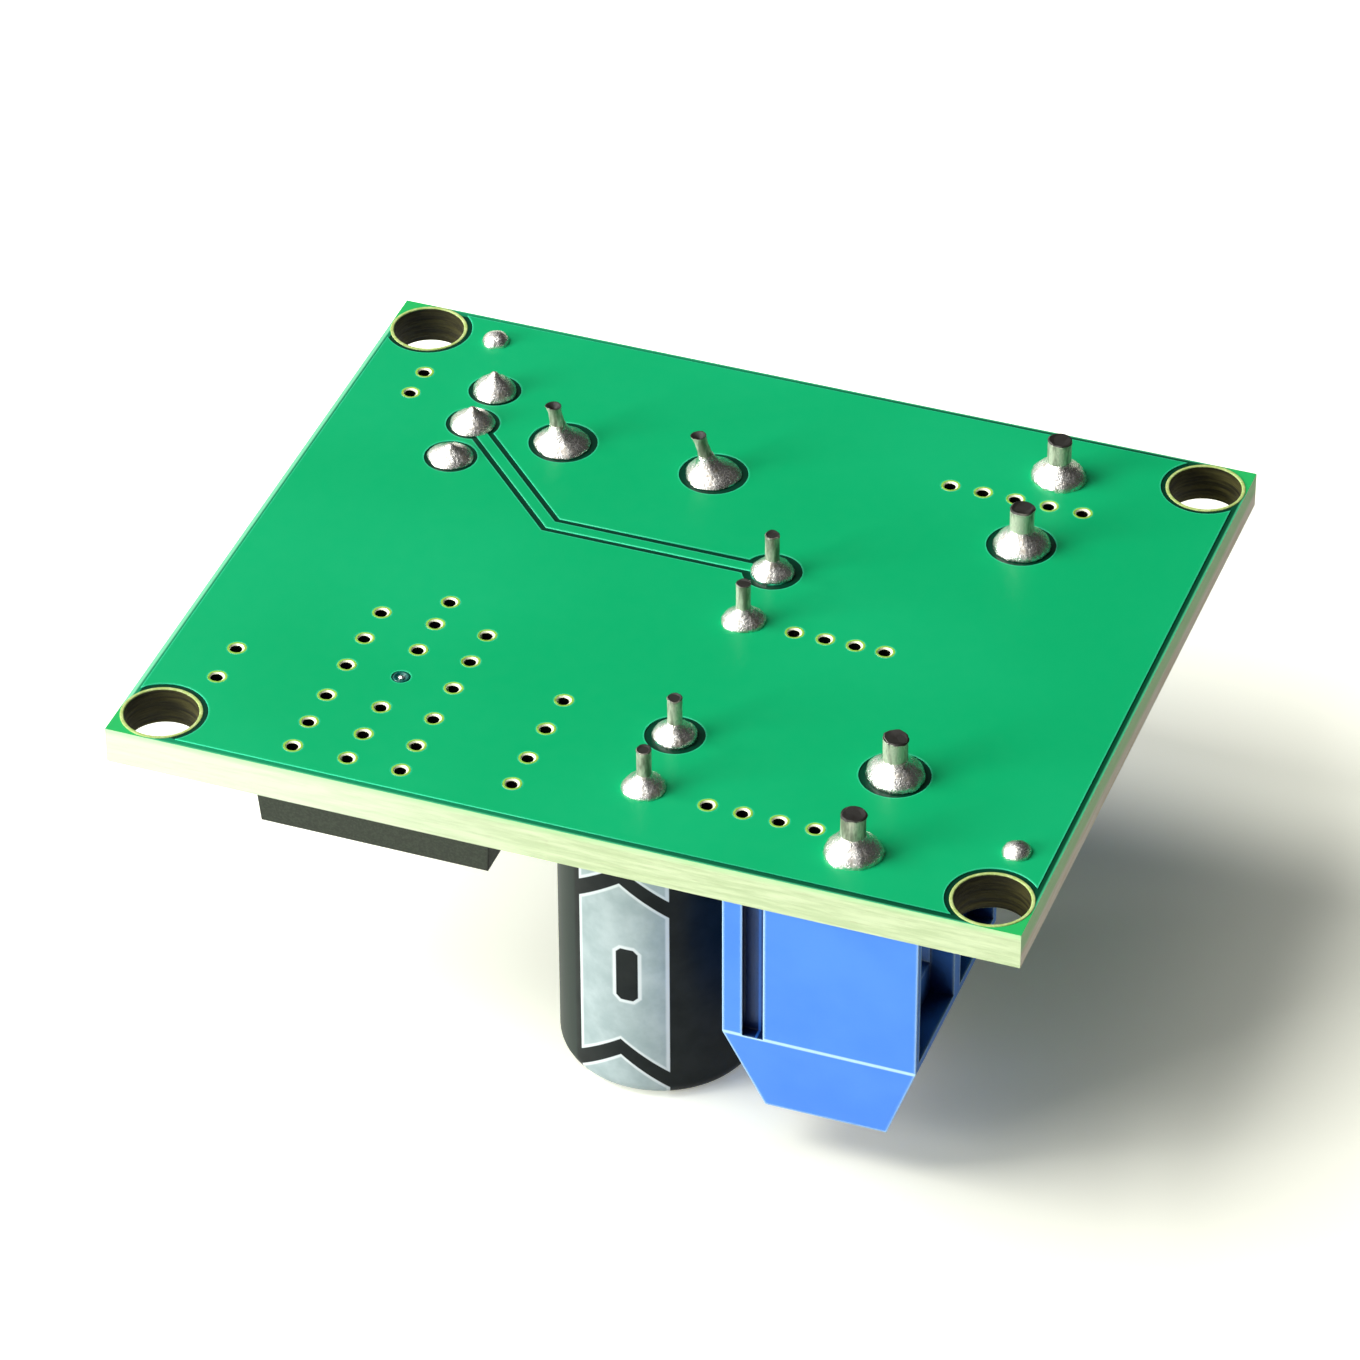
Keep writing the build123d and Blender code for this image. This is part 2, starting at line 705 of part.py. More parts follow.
with BuildPart() as regulator_body:
    with BuildSketch(level(regulator_height / 2)):
        with Locations((regulator_x, regulator_front + regulator_length / 2)):
            Rectangle(regulator_width, regulator_length)
    extrude(amount=regulator_height / 2 - regulator_lift, taper=regulator_taper / 2)
    with BuildSketch(level(regulator_height / 2)):
        with Locations((regulator_x, regulator_front + regulator_length / 2)):
            Rectangle(regulator_width, regulator_length)
    extrude(amount=-regulator_height / 2, taper=regulator_taper)
    with BuildSketch(level(regulator_height)):
        with Locations((regulator_x, body_back - ejector_mark_inset)):
            Circle(ejector_mark / 2)
    extrude(amount=ejector_mark_depth, mode=Mode.SUBTRACT)
    add(slug.part, mode=Mode.SUBTRACT)
    add(regulator_leads.part, mode=Mode.SUBTRACT)
keep(regulator_body, "regulator_body")

# Diode
diode_middle = diode_height / 2 + diode_lift
with BuildPart() as diode_leads:
    for way in (-1, 1):
        bend_x = way * (diode_span / 2 - diode_lead_thickness / 2)
        with BuildSketch(Plane(origin=(diode_x, diode_y, stand_height), x_dir=(1, 0, 0), z_dir=(0, -1, 0))):
            with BuildLine() as line:
                FilletPolyline(
                    (way * diode_length / 3, -diode_middle), (bend_x, -diode_middle),
                    (bend_x, -diode_lead_thickness / 2),
                    (bend_x - way * diode_foot, -diode_lead_thickness / 2),
                    radius=diode_lead_thickness,
                )
            trace(line.line, line_width=diode_lead_thickness)
        extrude(amount=diode_lead_width / 2, both=True)
keep(diode_leads, "diode_leads")

with BuildPart() as diode_body:
    for way in (-1, 1):
        with BuildSketch(level(diode_middle)):
            with Locations((diode_x, diode_y)):
                Rectangle(diode_length, diode_width)
        extrude(amount=way * diode_height / 2, taper=diode_taper)
    add(diode_leads.part, mode=Mode.SUBTRACT)
keep(diode_body, "diode_body")

# Chip parts
for label, (chip_x, chip_y, turn, chip_height) in chip_parts.items():
    with BuildPart() as chip:
        with BuildSketch(level(chip_height)):
            with Locations(Location((chip_x, chip_y), turn)):
                Rectangle(chip_length, chip_width)
        extrude(amount=chip_height)
        fillet(chip.edges().filter_by(Axis.Z), radius=chip_edge)
    keep(chip, label)


# Solder joints: each fills its hole round the lead and rises in a hollow cone
def joint_outline(x, y, base, hole, tip, cover):
    """Half outline of a joint. tip is the cone's radius at its top and cover its height."""
    waist = ((base + 2 * tip) / 3, solder_face + cover / 3 + solder_waist / 2)
    with BuildSketch(upright(x, y)) as outline:
        with BuildLine():
            Polyline(
                (0, stand_height), (hole, stand_height), (hole, solder_face), (base, solder_face),
                (base, solder_face + solder_waist), waist, (tip, solder_face + cover),
                (0, solder_face + cover), close=True,
            )
        make_face()
    return outline.sketch


def joint_axis(x, y):
    """Axis of the hole that a joint fills."""
    return Axis((x, y, 0), (0, 0, 1))


with BuildPart() as terminal_joints:
    for pole_y in poles.values():
        base, cover = terminal_solder
        hole = terminal_pin_wire / 2 + hole_gap
        tip = terminal_pin_wire / 2 + solder_waist
        joint = joint_outline(terminal_x, pole_y, base, hole, tip, cover)
        revolve(joint, axis=joint_axis(terminal_x, pole_y))
    with BuildSketch(level(0)):
        with Locations(*[(terminal_x, pole_y) for pole_y in poles.values()]):
            Circle(terminal_pin_wire / 2)
    extrude(amount=board_thickness + terminal_pin_proud, mode=Mode.SUBTRACT)
keep(terminal_joints, "terminal_solder_joints")

with BuildPart() as cap_joints:
    places = [place for centre in cap_places.values() for place in cap_lead_places(*centre)]
    for place in places:
        base, cover = cap_solder
        hole = cap_lead_wire / 2 + hole_gap
        joint = joint_outline(*place, base, hole, cap_lead_wire / 2 + solder_waist / 2, cover)
        revolve(joint, axis=joint_axis(*place))
    with BuildSketch(level(0)):
        with Locations(*places):
            Circle(cap_lead_wire / 2)
    extrude(amount=board_thickness + cap_lead_proud, mode=Mode.SUBTRACT)
keep(cap_joints, "capacitor_solder_joints")

with BuildPart() as choke_joints:
    for place in choke_lead_places.values():
        base, cover = choke_solder
        hole = choke_lead_wire / 2 + hole_gap
        joint = joint_outline(*place, base, hole, choke_lead_wire / 2 + solder_waist, cover)
        revolve(joint, axis=joint_axis(*place))
    add(choke_leads.part, mode=Mode.SUBTRACT)
keep(choke_joints, "choke_solder_joints")

with BuildPart() as trimmer_joints:
    for place in trimmer_pin_places:
        base, cover = trimmer_solder
        hole = trimmer_pin_wire / 2 + hole_gap
        joint = joint_outline(*place, base, hole, trimmer_pin_wire / 2 - solder_waist, cover)
        revolve(joint, axis=joint_axis(*place))
    add(trimmer_pins.part, mode=Mode.SUBTRACT)
keep(trimmer_joints, "trimmer_solder_joints")

with BuildPart() as domes:
    ball = (dome_radius**2 + dome_height**2) / (2 * dome_height)
    dome_start = math.degrees(math.atan2(ball - dome_height, dome_radius))
    for place in dome_places:
        with BuildSketch(upright(*place)):
            with BuildLine():
                Polyline(
                    (0, stand_height), (dome_hole / 2, stand_height), (dome_hole / 2, solder_face),
                    (dome_radius, solder_face),
                )
                CenterArc(
                    (0, solder_face + dome_height - ball), ball, start_angle=dome_start,
                    arc_size=90 - dome_start,
                )
                Line((0, solder_face + dome_height), (0, stand_height))
            make_face()
        revolve(axis=joint_axis(*place))
keep(domes, "solder_domes")
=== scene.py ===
import json
import math

import bmesh
import bpy
from mathutils import Matrix, Vector, noise


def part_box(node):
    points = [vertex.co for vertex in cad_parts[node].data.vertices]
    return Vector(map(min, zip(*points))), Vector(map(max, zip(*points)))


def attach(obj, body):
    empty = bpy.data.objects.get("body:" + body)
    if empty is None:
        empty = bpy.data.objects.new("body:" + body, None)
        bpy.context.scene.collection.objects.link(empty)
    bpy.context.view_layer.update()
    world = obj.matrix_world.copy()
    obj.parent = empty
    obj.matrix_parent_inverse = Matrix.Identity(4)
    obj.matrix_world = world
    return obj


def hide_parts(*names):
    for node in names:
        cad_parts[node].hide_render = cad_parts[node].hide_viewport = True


# Looks of a small voltage converter module that lies with its solder side up. Lengths are in
# millimetres in the row frame until a mesh is made, because Blender works in metres.

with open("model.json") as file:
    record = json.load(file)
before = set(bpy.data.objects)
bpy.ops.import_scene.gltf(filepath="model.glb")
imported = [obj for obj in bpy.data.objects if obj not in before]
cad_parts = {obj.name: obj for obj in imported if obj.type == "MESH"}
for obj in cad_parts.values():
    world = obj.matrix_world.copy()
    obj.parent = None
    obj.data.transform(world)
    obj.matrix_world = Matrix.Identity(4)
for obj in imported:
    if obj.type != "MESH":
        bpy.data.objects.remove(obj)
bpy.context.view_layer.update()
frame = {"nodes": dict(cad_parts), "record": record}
MM = 0.001


def corners(node):
    """Lowest and highest corner of a CAD node, in millimetres."""
    low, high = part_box(node)
    return [value / MM for value in low], [value / MM for value in high]


def middle(node):
    """Centre of a CAD node's box, in millimetres."""
    low, high = corners(node)
    return [(a + b) / 2 for a, b in zip(low, high)]


board_low, board_high = corners("circuit_board")
solder_face = board_high[2]
component_face = board_low[2]
board_x = board_high[0]
board_y = board_high[1]

# Places and sizes on the board, as in the part's source
hole_inset = 1.7
hole_radius = 1.5
via_radius = 0.275
via_grid_x = [-11.55, -9.22, -6.97]
via_grid_y = [-14.55, -12.9, -11.05, -8.95, -7.07, -5.24]
via_column_x = -2.55
via_column_y = [-13.88, -12.14, -10.16, -8.2]
via_rows = {
    -0.88: [4.59, 5.9, 7.18, 8.44],
    -12.57: [5.1, 6.56, 8.06, 9.54],
    10.85: [7.33, 8.75, 10.16, 11.61, 13.06],
}
via_pairs = [(-16.24, 11.15), (-16.24, 9.55), (-16.13, -9.42), (-16.13, -11.42), (-9.2, -3.65)]
vias = [(x, y) for x in via_grid_x for y in via_grid_y]
vias += [(via_column_x, y) for y in via_column_y]
vias += [(x, y) for y, row in via_rows.items() for x in row]
vias += via_pairs
plugged_via = (-9.22, -8.95)
hole_places = [
    (side * (board_x - hole_inset), end * (board_y - hole_inset)) for side in (-1, 1) for end in (-1, 1)
]
pour_inset = 0.27
hole_clear = 1.86
lead_proud = 1.9
terminal_pin_radius = 0.5
cap_lead_radius = 0.3
choke_lead_radius = 0.4
trimmer_pin_reach = 0.25
sleeve_radius = 4.1

cap_lead_pitch = 3.5
cap_places = {rail: middle(f"{rail}_capacitor_sleeve")[:2] for rail in ("output", "input")}
choke_x, choke_y = middle("choke_sleeve")[:2]
choke_lead_pitch = 6.69
trimmer_pin_pitch = 2.54
trimmer_x, trimmer_y = middle("trimmer_pins")[:2]
terminal_pin_x = 11.35
poles = ["output_negative", "output_positive", "input_positive", "input_negative"]
pole_y = {pole: middle(f"{pole}_contact")[1] for pole in poles}


# Camera at the photograph's viewing angle
camera_azimuth = 20.25
camera_elevation = 37.37
camera_roll = -0.30
camera_distance = 273.4
camera_aim = (-0.602, -3.317)
camera_lens = 178.6
sensor = 36.0

turn = (
    Matrix.Rotation(math.radians(camera_azimuth), 4, "Z")
    @ Matrix.Rotation(math.radians(90 - camera_elevation), 4, "X")
    @ Matrix.Rotation(math.radians(camera_roll), 4, "Z")
)
camera = bpy.data.objects.new("camera", bpy.data.cameras.new("camera"))
camera.data.lens = camera_lens
camera.data.sensor_width = sensor
camera.data.clip_start = 0.01
camera.data.clip_end = 20
place = turn @ Vector((*camera_aim, camera_distance)) + Vector((0, 0, solder_face))
camera.matrix_world = Matrix.Translation(place * MM) @ turn
bpy.context.collection.objects.link(camera)
scene = bpy.context.scene
scene.camera = camera
scene.view_settings.view_transform = "Standard"


# Node materials
class Look:
    """A node material around one Principled shader, with short calls for what its nodes need."""

    def __init__(self, name, colour, metallic=0.0, roughness=0.5):
        self.material = bpy.data.materials.new(name)
        self.material.use_nodes = True
        self.tree = self.material.node_tree
        self.shader = self.tree.nodes["Principled BSDF"]
        self.set(colour, metallic, roughness)

    def set(self, colour, metallic, roughness):
        self.shader.inputs["Base Color"].default_value = (*colour, 1)
        self.shader.inputs["Metallic"].default_value = metallic
        self.shader.inputs["Roughness"].default_value = roughness

    def add(self, kind, **settings):
        node = self.tree.nodes.new(kind)
        for name, value in settings.items():
            setattr(node, name, value)
        return node

    def put(self, socket, value):
        """Give an input socket a number, a colour, a vector or another node's output."""
        if isinstance(value, bpy.types.NodeSocket):
            self.tree.links.new(value, socket)
        elif isinstance(value, (tuple, list)) and socket.type == "RGBA":
            socket.default_value = (*value, 1) if len(value) == 3 else value
        else:
            socket.default_value = value

    def math(self, operation, *values):
        node = self.add("ShaderNodeMath", operation=operation)
        for socket, value in zip(node.inputs, values):
            self.put(socket, value)
        return node.outputs[0]

    def mix(self, factor, first, second):
        node = self.add("ShaderNodeMix", data_type="RGBA")
        self.put(node.inputs["Factor"], factor)
        self.put(node.inputs[6], first)
        self.put(node.inputs[7], second)
        return node.outputs[2]

    def step(self, value, low, high, first=0.0, last=1.0):
        """A smooth ramp from first to last while value goes from low to high."""
        node = self.add("ShaderNodeMapRange", interpolation_type="SMOOTHSTEP")
        for name, number in (("From Min", low), ("From Max", high), ("To Min", first), ("To Max", last)):
            node.inputs[name].default_value = number
        self.put(node.inputs["Value"], value)
        return node.outputs["Result"]

    def blend(self, value, low, high, first, last):
        """The colour first where value is under low and last where it is over high."""
        return self.mix(self.step(value, low, high), first, last)

    def off(self, value, centre):
        """How far value is from centre, either way."""
        return self.math("ABSOLUTE", self.math("SUBTRACT", value, centre))

    def facing(self):
        """The surface's direction, as its x, y and z."""
        return self.axes(self.add("ShaderNodeNewGeometry").outputs["Normal"])

    def specular(self, level):
        self.shader.inputs["Specular IOR Level"].default_value = level

    def where(self, scale=(1000.0, 1000.0, 1000.0)):
        """The object's own coordinates, in millimetres unless scaled otherwise."""
        coordinates = self.add("ShaderNodeTexCoord")
        mapping = self.add("ShaderNodeMapping")
        self.put(mapping.inputs["Vector"], coordinates.outputs["Object"])
        mapping.inputs["Scale"].default_value = scale
        return mapping.outputs["Vector"]

    def axes(self, vector):
        node = self.add("ShaderNodeSeparateXYZ")
        self.put(node.inputs[0], vector)
        return node.outputs

    def noise(self, scale, detail=3.0, rough=0.5, vector=None):
        node = self.add("ShaderNodeTexNoise")
        self.put(node.inputs["Vector"], vector if vector is not None else self.where())
        node.inputs["Scale"].default_value = scale
        node.inputs["Detail"].default_value = detail
        node.inputs["Roughness"].default_value = rough
        return node.outputs["Fac"]

    def colour(self, value):
        self.put(self.shader.inputs["Base Color"], value)

    def roughness(self, value):
        self.put(self.shader.inputs["Roughness"], value)

    def metallic(self, value):
        self.put(self.shader.inputs["Metallic"], value)

    def bump(self, height, distance, strength=1.0, rounded=0.0):
        """Fine relief, distance in millimetres. rounded is the radius that sharp edges seem to have."""
        node = self.add("ShaderNodeBump")
        node.inputs["Strength"].default_value = strength
        node.inputs["Distance"].default_value = distance * MM
        self.put(node.inputs["Height"], height)
        if rounded:
            edge = self.add("ShaderNodeBevel", samples=6)
            edge.inputs["Radius"].default_value = rounded * MM
            self.put(node.inputs["Normal"], edge.outputs["Normal"])
        self.put(self.shader.inputs["Normal"], node.outputs["Normal"])

    def edge(self, radius, low=0.03, high=0.3):
        """0 on flat surfaces and 1 along sharp edges, within a radius in millimetres."""
        bevel = self.add("ShaderNodeBevel", samples=6)
        bevel.inputs["Radius"].default_value = radius * MM
        geometry = self.add("ShaderNodeNewGeometry")
        dot = self.add("ShaderNodeVectorMath", operation="DOT_PRODUCT")
        self.put(dot.inputs[0], bevel.outputs["Normal"])
        self.put(dot.inputs[1], geometry.outputs["Normal"])
        return self.step(self.math("SUBTRACT", 1.0, dot.outputs["Value"]), low, high)


looks = {}


def board_look():
    """Glass-epoxy laminate: green mask on both faces, pale streaky cut edges, olive hole walls. The
    mask's rim carries painted shade and painted highlights, and the cut edges carry painted light and a
    painted glow.
    """
    look = Look("board", (0.02, 0.2, 0.08), 0.0, 0.3)
    x, y, z = look.axes(look.where())
    normal = look.facing()
    face = look.step(look.math("ABSOLUTE", normal[2]), 0.6, 0.8)
    from_edge = look.math(
        "MINIMUM",
        look.math("SUBTRACT", board_x, look.math("ABSOLUTE", x)),
        look.math("SUBTRACT", board_y, look.math("ABSOLUTE", y)),
    )
    # Painted shade: the mask over the bare rim is painted darker from the left end to the right end, away
    # from the lamps.
    border = look.blend(x, -18.0, 18.0, (0.008, 0.28, 0.12), (0.001, 0.075, 0.032))
    mask = look.blend(from_edge, pour_inset + 0.03, pour_inset + 0.07, border, (0.0, 0.042, 0.020))
    # Painted highlights: a pale line along the board's very edge, and a paler mint one along its left
    # end, where the edge catches the lamps' light.
    mask = look.blend(from_edge, 0.02, 0.12, (0.07, 0.55, 0.26), mask)
    mask = look.blend(x, 0.12 - board_x, 0.20 - board_x, (0.26, 0.85, 0.50), mask)
    streaks = look.noise(1.0, 6.0, 0.65, look.where((420.0, 420.0, 5200.0)))
    fibres = look.noise(1.0, 3.0, 0.6, look.where((1300.0, 1300.0, 9000.0)))
    laminate = look.blend(streaks, 0.32, 0.68, (0.53, 0.66, 0.36), (0.70, 0.82, 0.50))
    fibre = look.step(fibres, 0.60, 0.74, 0.0, 0.35)
    laminate = look.mix(fibre, laminate, (0.48, 0.50, 0.28))
    # Painted light: the cut edges are painted paler towards the left end, the side of the lamps.
    laminate = look.mix(look.step(x, -19.0, 4.0, 0.6, 0.0), laminate, (0.90, 0.98, 0.80))
    # Painted light: the cut faces that look along X are painted a paler cream, standing in for light on
    # the right-hand edge.
    x_facing = look.step(look.math("ABSOLUTE", normal[0]), 0.6, 0.8)
    x_face_painted_light = look.blend(streaks, 0.3, 0.7, (0.90, 0.80, 0.60), (1.0, 0.95, 0.80))
    laminate = look.mix(x_facing, laminate, x_face_painted_light)
    # Painted glow: a green band near the top of every cut edge and over the upper half of the faces along
    # X, standing in for light that comes through the laminate.
    painted_top_glow = look.step(z, solder_face - 0.35, solder_face, 0.0, 0.6)
    upper_half = look.step(z, solder_face - 1.1, solder_face - 0.7, 0.0, 0.75)
    x_face_painted_glow = look.math("MULTIPLY", x_facing, upper_half)
    laminate = look.mix(look.math("MAXIMUM", painted_top_glow, x_face_painted_glow), laminate, (0.42, 0.85, 0.38))
    hole_x = look.math("SUBTRACT", look.math("ABSOLUTE", x), board_x - hole_inset)
    hole_y = look.math("SUBTRACT", look.math("ABSOLUTE", y), board_y - hole_inset)
    squares = [look.math("POWER", side, 2.0) for side in (hole_x, hole_y)]
    hole = look.math("SQRT", look.math("ADD", *squares))
    mask = look.blend(look.math("ADD", hole_x, hole_y), 1.4, 2.1, mask, (0.025, 0.52, 0.13))
    wall = look.step(hole, hole_radius + 0.02, hole_radius + 0.06, 1.0, 0.0)
    bored = look.blend(streaks, 0.35, 0.7, (0.012, 0.011, 0.003), (0.075, 0.068, 0.018))
    laminate = look.mix(wall, laminate, bored)
    look.colour(look.mix(face, laminate, mask))
    look.specular(0.2)
    look.roughness(look.math("ADD", look.math("MULTIPLY", face, -0.35), 0.65))
    rough_cut = look.math("MULTIPLY", look.math("SUBTRACT", 1.0, face), streaks)
    look.bump(rough_cut, 0.06, 0.8)
    return look.material


def mask_look():
    """Green solder mask over copper: satin, slightly uneven, paler where it runs thin at an edge."""
    look = Look("mask_over_copper", (0.016, 0.445, 0.16), 0.0, 0.3)
    drift = look.noise(0.09, 2.0, 0.4)
    colour = look.blend(drift, 0.3, 0.7, (0.002, 0.430, 0.147), (0.005, 0.458, 0.166))
    normal = look.facing()
    side = look.step(look.math("ABSOLUTE", normal[2]), 0.3, 0.9, 1.0, 0.0)
    thin = look.math("MAXIMUM", side, look.edge(0.12, 0.01, 0.10))
    look.colour(look.mix(thin, colour, (0.05, 0.68, 0.36)))
    look.roughness(look.step(look.noise(1.5, 3.0), 0.3, 0.7, 0.28, 0.36))
    look.bump(look.noise(3.5, 2.0), 0.006, 0.35)
    look.specular(0.2)
    return look.material


def solder_look():
    """Bright leaded solder with faint flow marks and grey frosting."""
    look = Look("solder", (0.86, 0.85, 0.81), 1.0, 0.3)
    frost = look.noise(3.2, 6.0, 0.7)
    look.colour(look.blend(frost, 0.45, 0.70, (0.90, 0.88, 0.83), (0.52, 0.46, 0.38)))
    look.roughness(look.step(frost, 0.3, 0.75, 0.17, 0.38))
    look.bump(look.noise(7.0, 5.0, 0.65), 0.06, 0.7)
    return look.material


def metal_look(name, colour, dull, rough=(0.2, 0.4), grain=(2.5, 2.5, 0.6), relief=0.01, rounded=0.0):
    """Drawn or plated metal with a fine grain, its dull tone in patches."""
    look = Look(name, colour, 1.0, rough[0])
    streak = look.noise(1.0, 4.0, 0.6, look.where([value * 1000.0 for value in grain]))
    patch = look.noise(0.8, 3.0, 0.5)
    both = look.math("MULTIPLY", look.step(patch, 0.35, 0.7), look.step(streak, 0.3, 0.75))
    look.colour(look.mix(both, colour, dull))
    look.roughness(look.step(streak, 0.3, 0.7, *rough))
    look.bump(streak, relief, 0.6, rounded)
    return look.material


def lead_look(name):
    """Tin over copper, half matt, with the flat top of each cut end coloured near black."""
    look = Look(name, (0.56, 0.58, 0.48), 0.3, 0.3)
    z = look.axes(look.where())[2]
    normal = look.facing()
    streak = look.noise(1.0, 4.0, 0.6, look.where((2500.0, 2500.0, 600.0)))
    tin = look.blend(streak, 0.40, 0.62, (0.62, 0.62, 0.50), (0.19, 0.20, 0.145))
    high_up = look.step(z, solder_face + 1.0, solder_face + 1.2)
    cut = look.math("MULTIPLY", look.step(normal[2], 0.5, 0.8), high_up)
    look.colour(look.mix(cut, tin, (0.014, 0.012, 0.009)))
    look.metallic(look.math("SUBTRACT", 0.3, look.math("MULTIPLY", cut, 0.25)))
    satin = look.step(streak, 0.3, 0.7, 0.24, 0.42)
    look.roughness(look.math("ADD", satin, look.math("MULTIPLY", cut, 0.2)))
    look.bump(streak, 0.015, 0.6, 0.05)
    return look.material


def plastic_look(name, colour, deep, pale, rough=(0.3, 0.4), relief=0.008, rounded=0.08, edge=0.12):
    """Moulded plastic: fine skin texture, edges painted a shade paler as a highlight, slightly deeper
    patches.
    """
    look = Look(name, colour, 0.0, rough[0])
    drift = look.noise(0.25, 3.0, 0.5)
    base = look.blend(drift, 0.3, 0.7, deep, colour)
    # Painted highlight: the edges are a shade paler.
    look.colour(look.mix(look.edge(edge), base, pale))
    skin = look.noise(9.0, 3.0, 0.55)
    look.roughness(look.step(look.noise(1.2, 3.0), 0.3, 0.7, *rough))
    look.bump(skin, relief, 0.5, rounded)
    return look.material


def sleeve_look(name, centre):
    """Dark shrunk sleeve with a silver stripe, cut by chevrons and marked with a plain minus bar; its
    film is painted paler on the side of the lamps.
    """
    stripe_middle = -93.0
    stripe_half = 28.0
    chevron_rise = 1.5
    chevron_pitch = 8.75
    gap_depth = 11.44
    gap_half = 0.40
    bar_middle = -89.0
    bar_depth = 7.66
    bar_half_length = 1.30
    bar_half_width = 0.46
    bar_corner = 0.3
    round_mm = sleeve_radius * math.pi / 180
    line_width = 0.2
    look = Look(name, (0.03, 0.031, 0.03), 0.0, 0.35)
    x, y, z = look.axes(look.where())
    from_axis = [look.math("SUBTRACT", value, place) for value, place in zip((y, x), reversed(centre))]
    angle = look.math("MULTIPLY", look.math("ARCTAN2", *from_axis), 180 / math.pi)
    depth = look.math("SUBTRACT", solder_face, z)
    from_middle = look.off(angle, stripe_middle)
    stripe = look.step(from_middle, stripe_half - 0.25, stripe_half + 0.25, 1.0, 0.0)
    slope = look.math("MULTIPLY", from_middle, chevron_rise / stripe_half)
    along = look.math("SUBTRACT", look.math("SUBTRACT", depth, slope), gap_depth - chevron_pitch / 2)
    cell = look.math("SUBTRACT", look.math("FLOORED_MODULO", along, chevron_pitch), chevron_pitch / 2)
    gap = look.step(look.math("ABSOLUTE", cell), gap_half - 0.02, gap_half + 0.02, 1.0, 0.0)
    across = look.math("MULTIPLY", look.off(angle, bar_middle), round_mm)
    over_u = look.math("MAXIMUM", look.math("SUBTRACT", across, bar_half_width - bar_corner), 0.0)
    down = look.off(depth, bar_depth)
    over_v = look.math("MAXIMUM", look.math("SUBTRACT", down, bar_half_length - bar_corner), 0.0)
    cut_corner = look.math("MULTIPLY", look.math("ADD", over_u, over_v), 0.75)
    reach = look.math("MAXIMUM", look.math("MAXIMUM", over_u, over_v), cut_corner)
    bar = look.step(reach, bar_corner - 0.02, bar_corner + 0.02, 1.0, 0.0)
    ink = look.math("MULTIPLY", stripe, look.math("SUBTRACT", 1.0, look.math("MAXIMUM", gap, bar)))
    mottle = look.noise(0.9, 6.0, 0.55)
    silver = look.blend(mottle, 0.3, 0.75, (0.33, 0.42, 0.415), (0.46, 0.555, 0.545))
    to_edge = look.math("MULTIPLY", look.math("SUBTRACT", stripe_half, from_middle), round_mm)
    to_gap = look.math("SUBTRACT", look.math("ABSOLUTE", cell), gap_half)
    to_bar = look.math("SUBTRACT", reach, bar_corner)
    border = look.math("MINIMUM", to_edge, look.math("MINIMUM", to_gap, to_bar))
    outline = look.step(border, line_width / 2, line_width, 0.75, 0.0)
    silver = look.mix(outline, silver, (0.80, 0.86, 0.84))
    film = look.blend(look.noise(0.7, 3.0), 0.3, 0.7, (0.004, 0.007, 0.008), (0.012, 0.016, 0.016))
    # Painted light: the film beside the stripe, on the side of the lamps, is painted a paler grey.
    beside = look.math("SUBTRACT", stripe_middle - stripe_half, angle)
    left = look.math("MULTIPLY", look.step(beside, 3.0, 6.0), look.step(beside, 60.0, 90.0, 1.0, 0.0))
    film = look.mix(left, film, (0.016, 0.027, 0.023))
    look.colour(look.mix(ink, film, silver))
    look.roughness(look.math("ADD", look.math("MULTIPLY", ink, -0.04), 0.42))
    wrinkle = look.noise(1.0, 3.0, 0.5, look.where((500.0, 500.0, 160.0)))
    look.bump(wrinkle, 0.03, 0.4)
    look.specular(0.12)
    return look.material


def shrink_look():
    """Black shrunk tube with soft wrinkles."""
    look = Look("choke_sleeve", (0.022, 0.022, 0.024), 0.0, 0.38)
    wrinkle = look.noise(1.0, 3.0, 0.5, look.where((420.0, 420.0, 120.0)))
    look.colour(look.blend(wrinkle, 0.3, 0.7, (0.018, 0.018, 0.019), (0.035, 0.035, 0.037)))
    look.bump(wrinkle, 0.06, 0.6, 0.1)
    return look.material


ring_raise = 0.055


def plated_look():
    """Plated holes: mask over the ring, bright tin in the funnel from its lip inwards, and the barrel
    below painted near black as shade deep in the hole.
    """
    look = Look("plated_hole", (0.85, 0.86, 0.70), 0.1, 0.25)
    z = look.axes(look.where())[2]
    from_middle = look.off(z, (solder_face + component_face) / 2)
    half = (solder_face - component_face) / 2
    ring = look.step(from_middle, half + ring_raise - 0.009, half + ring_raise - 0.001)
    inner = look.mix(look.noise(6.0), (1.0, 1.0, 0.80), (0.88, 0.90, 0.60))
    # Painted shade: near black below the funnel, deep in the hole.
    inner = look.blend(from_middle, half - 0.02, half, (0.004, 0.004, 0.002), inner)
    look.colour(look.mix(ring, inner, (0.32, 0.64, 0.07)))
    look.roughness(look.math("ADD", look.math("MULTIPLY", ring, 0.1), 0.35))
    return look.material


def mineral_look(name, colour, other, scale=6.0, rough=0.75, relief=0.03, rounded=0.06):
    """Sintered, potted or filled material with a speckled grain."""
    look = Look(name, colour, 0.0, rough)
    speck = look.noise(scale, 5.0, 0.65)
    look.colour(look.blend(speck, 0.4, 0.65, colour, other))
    look.roughness(look.step(speck, 0.3, 0.7, rough - 0.08, min(rough + 0.08, 1.0)))
    look.bump(speck, relief, 0.6, rounded)
    return look.material


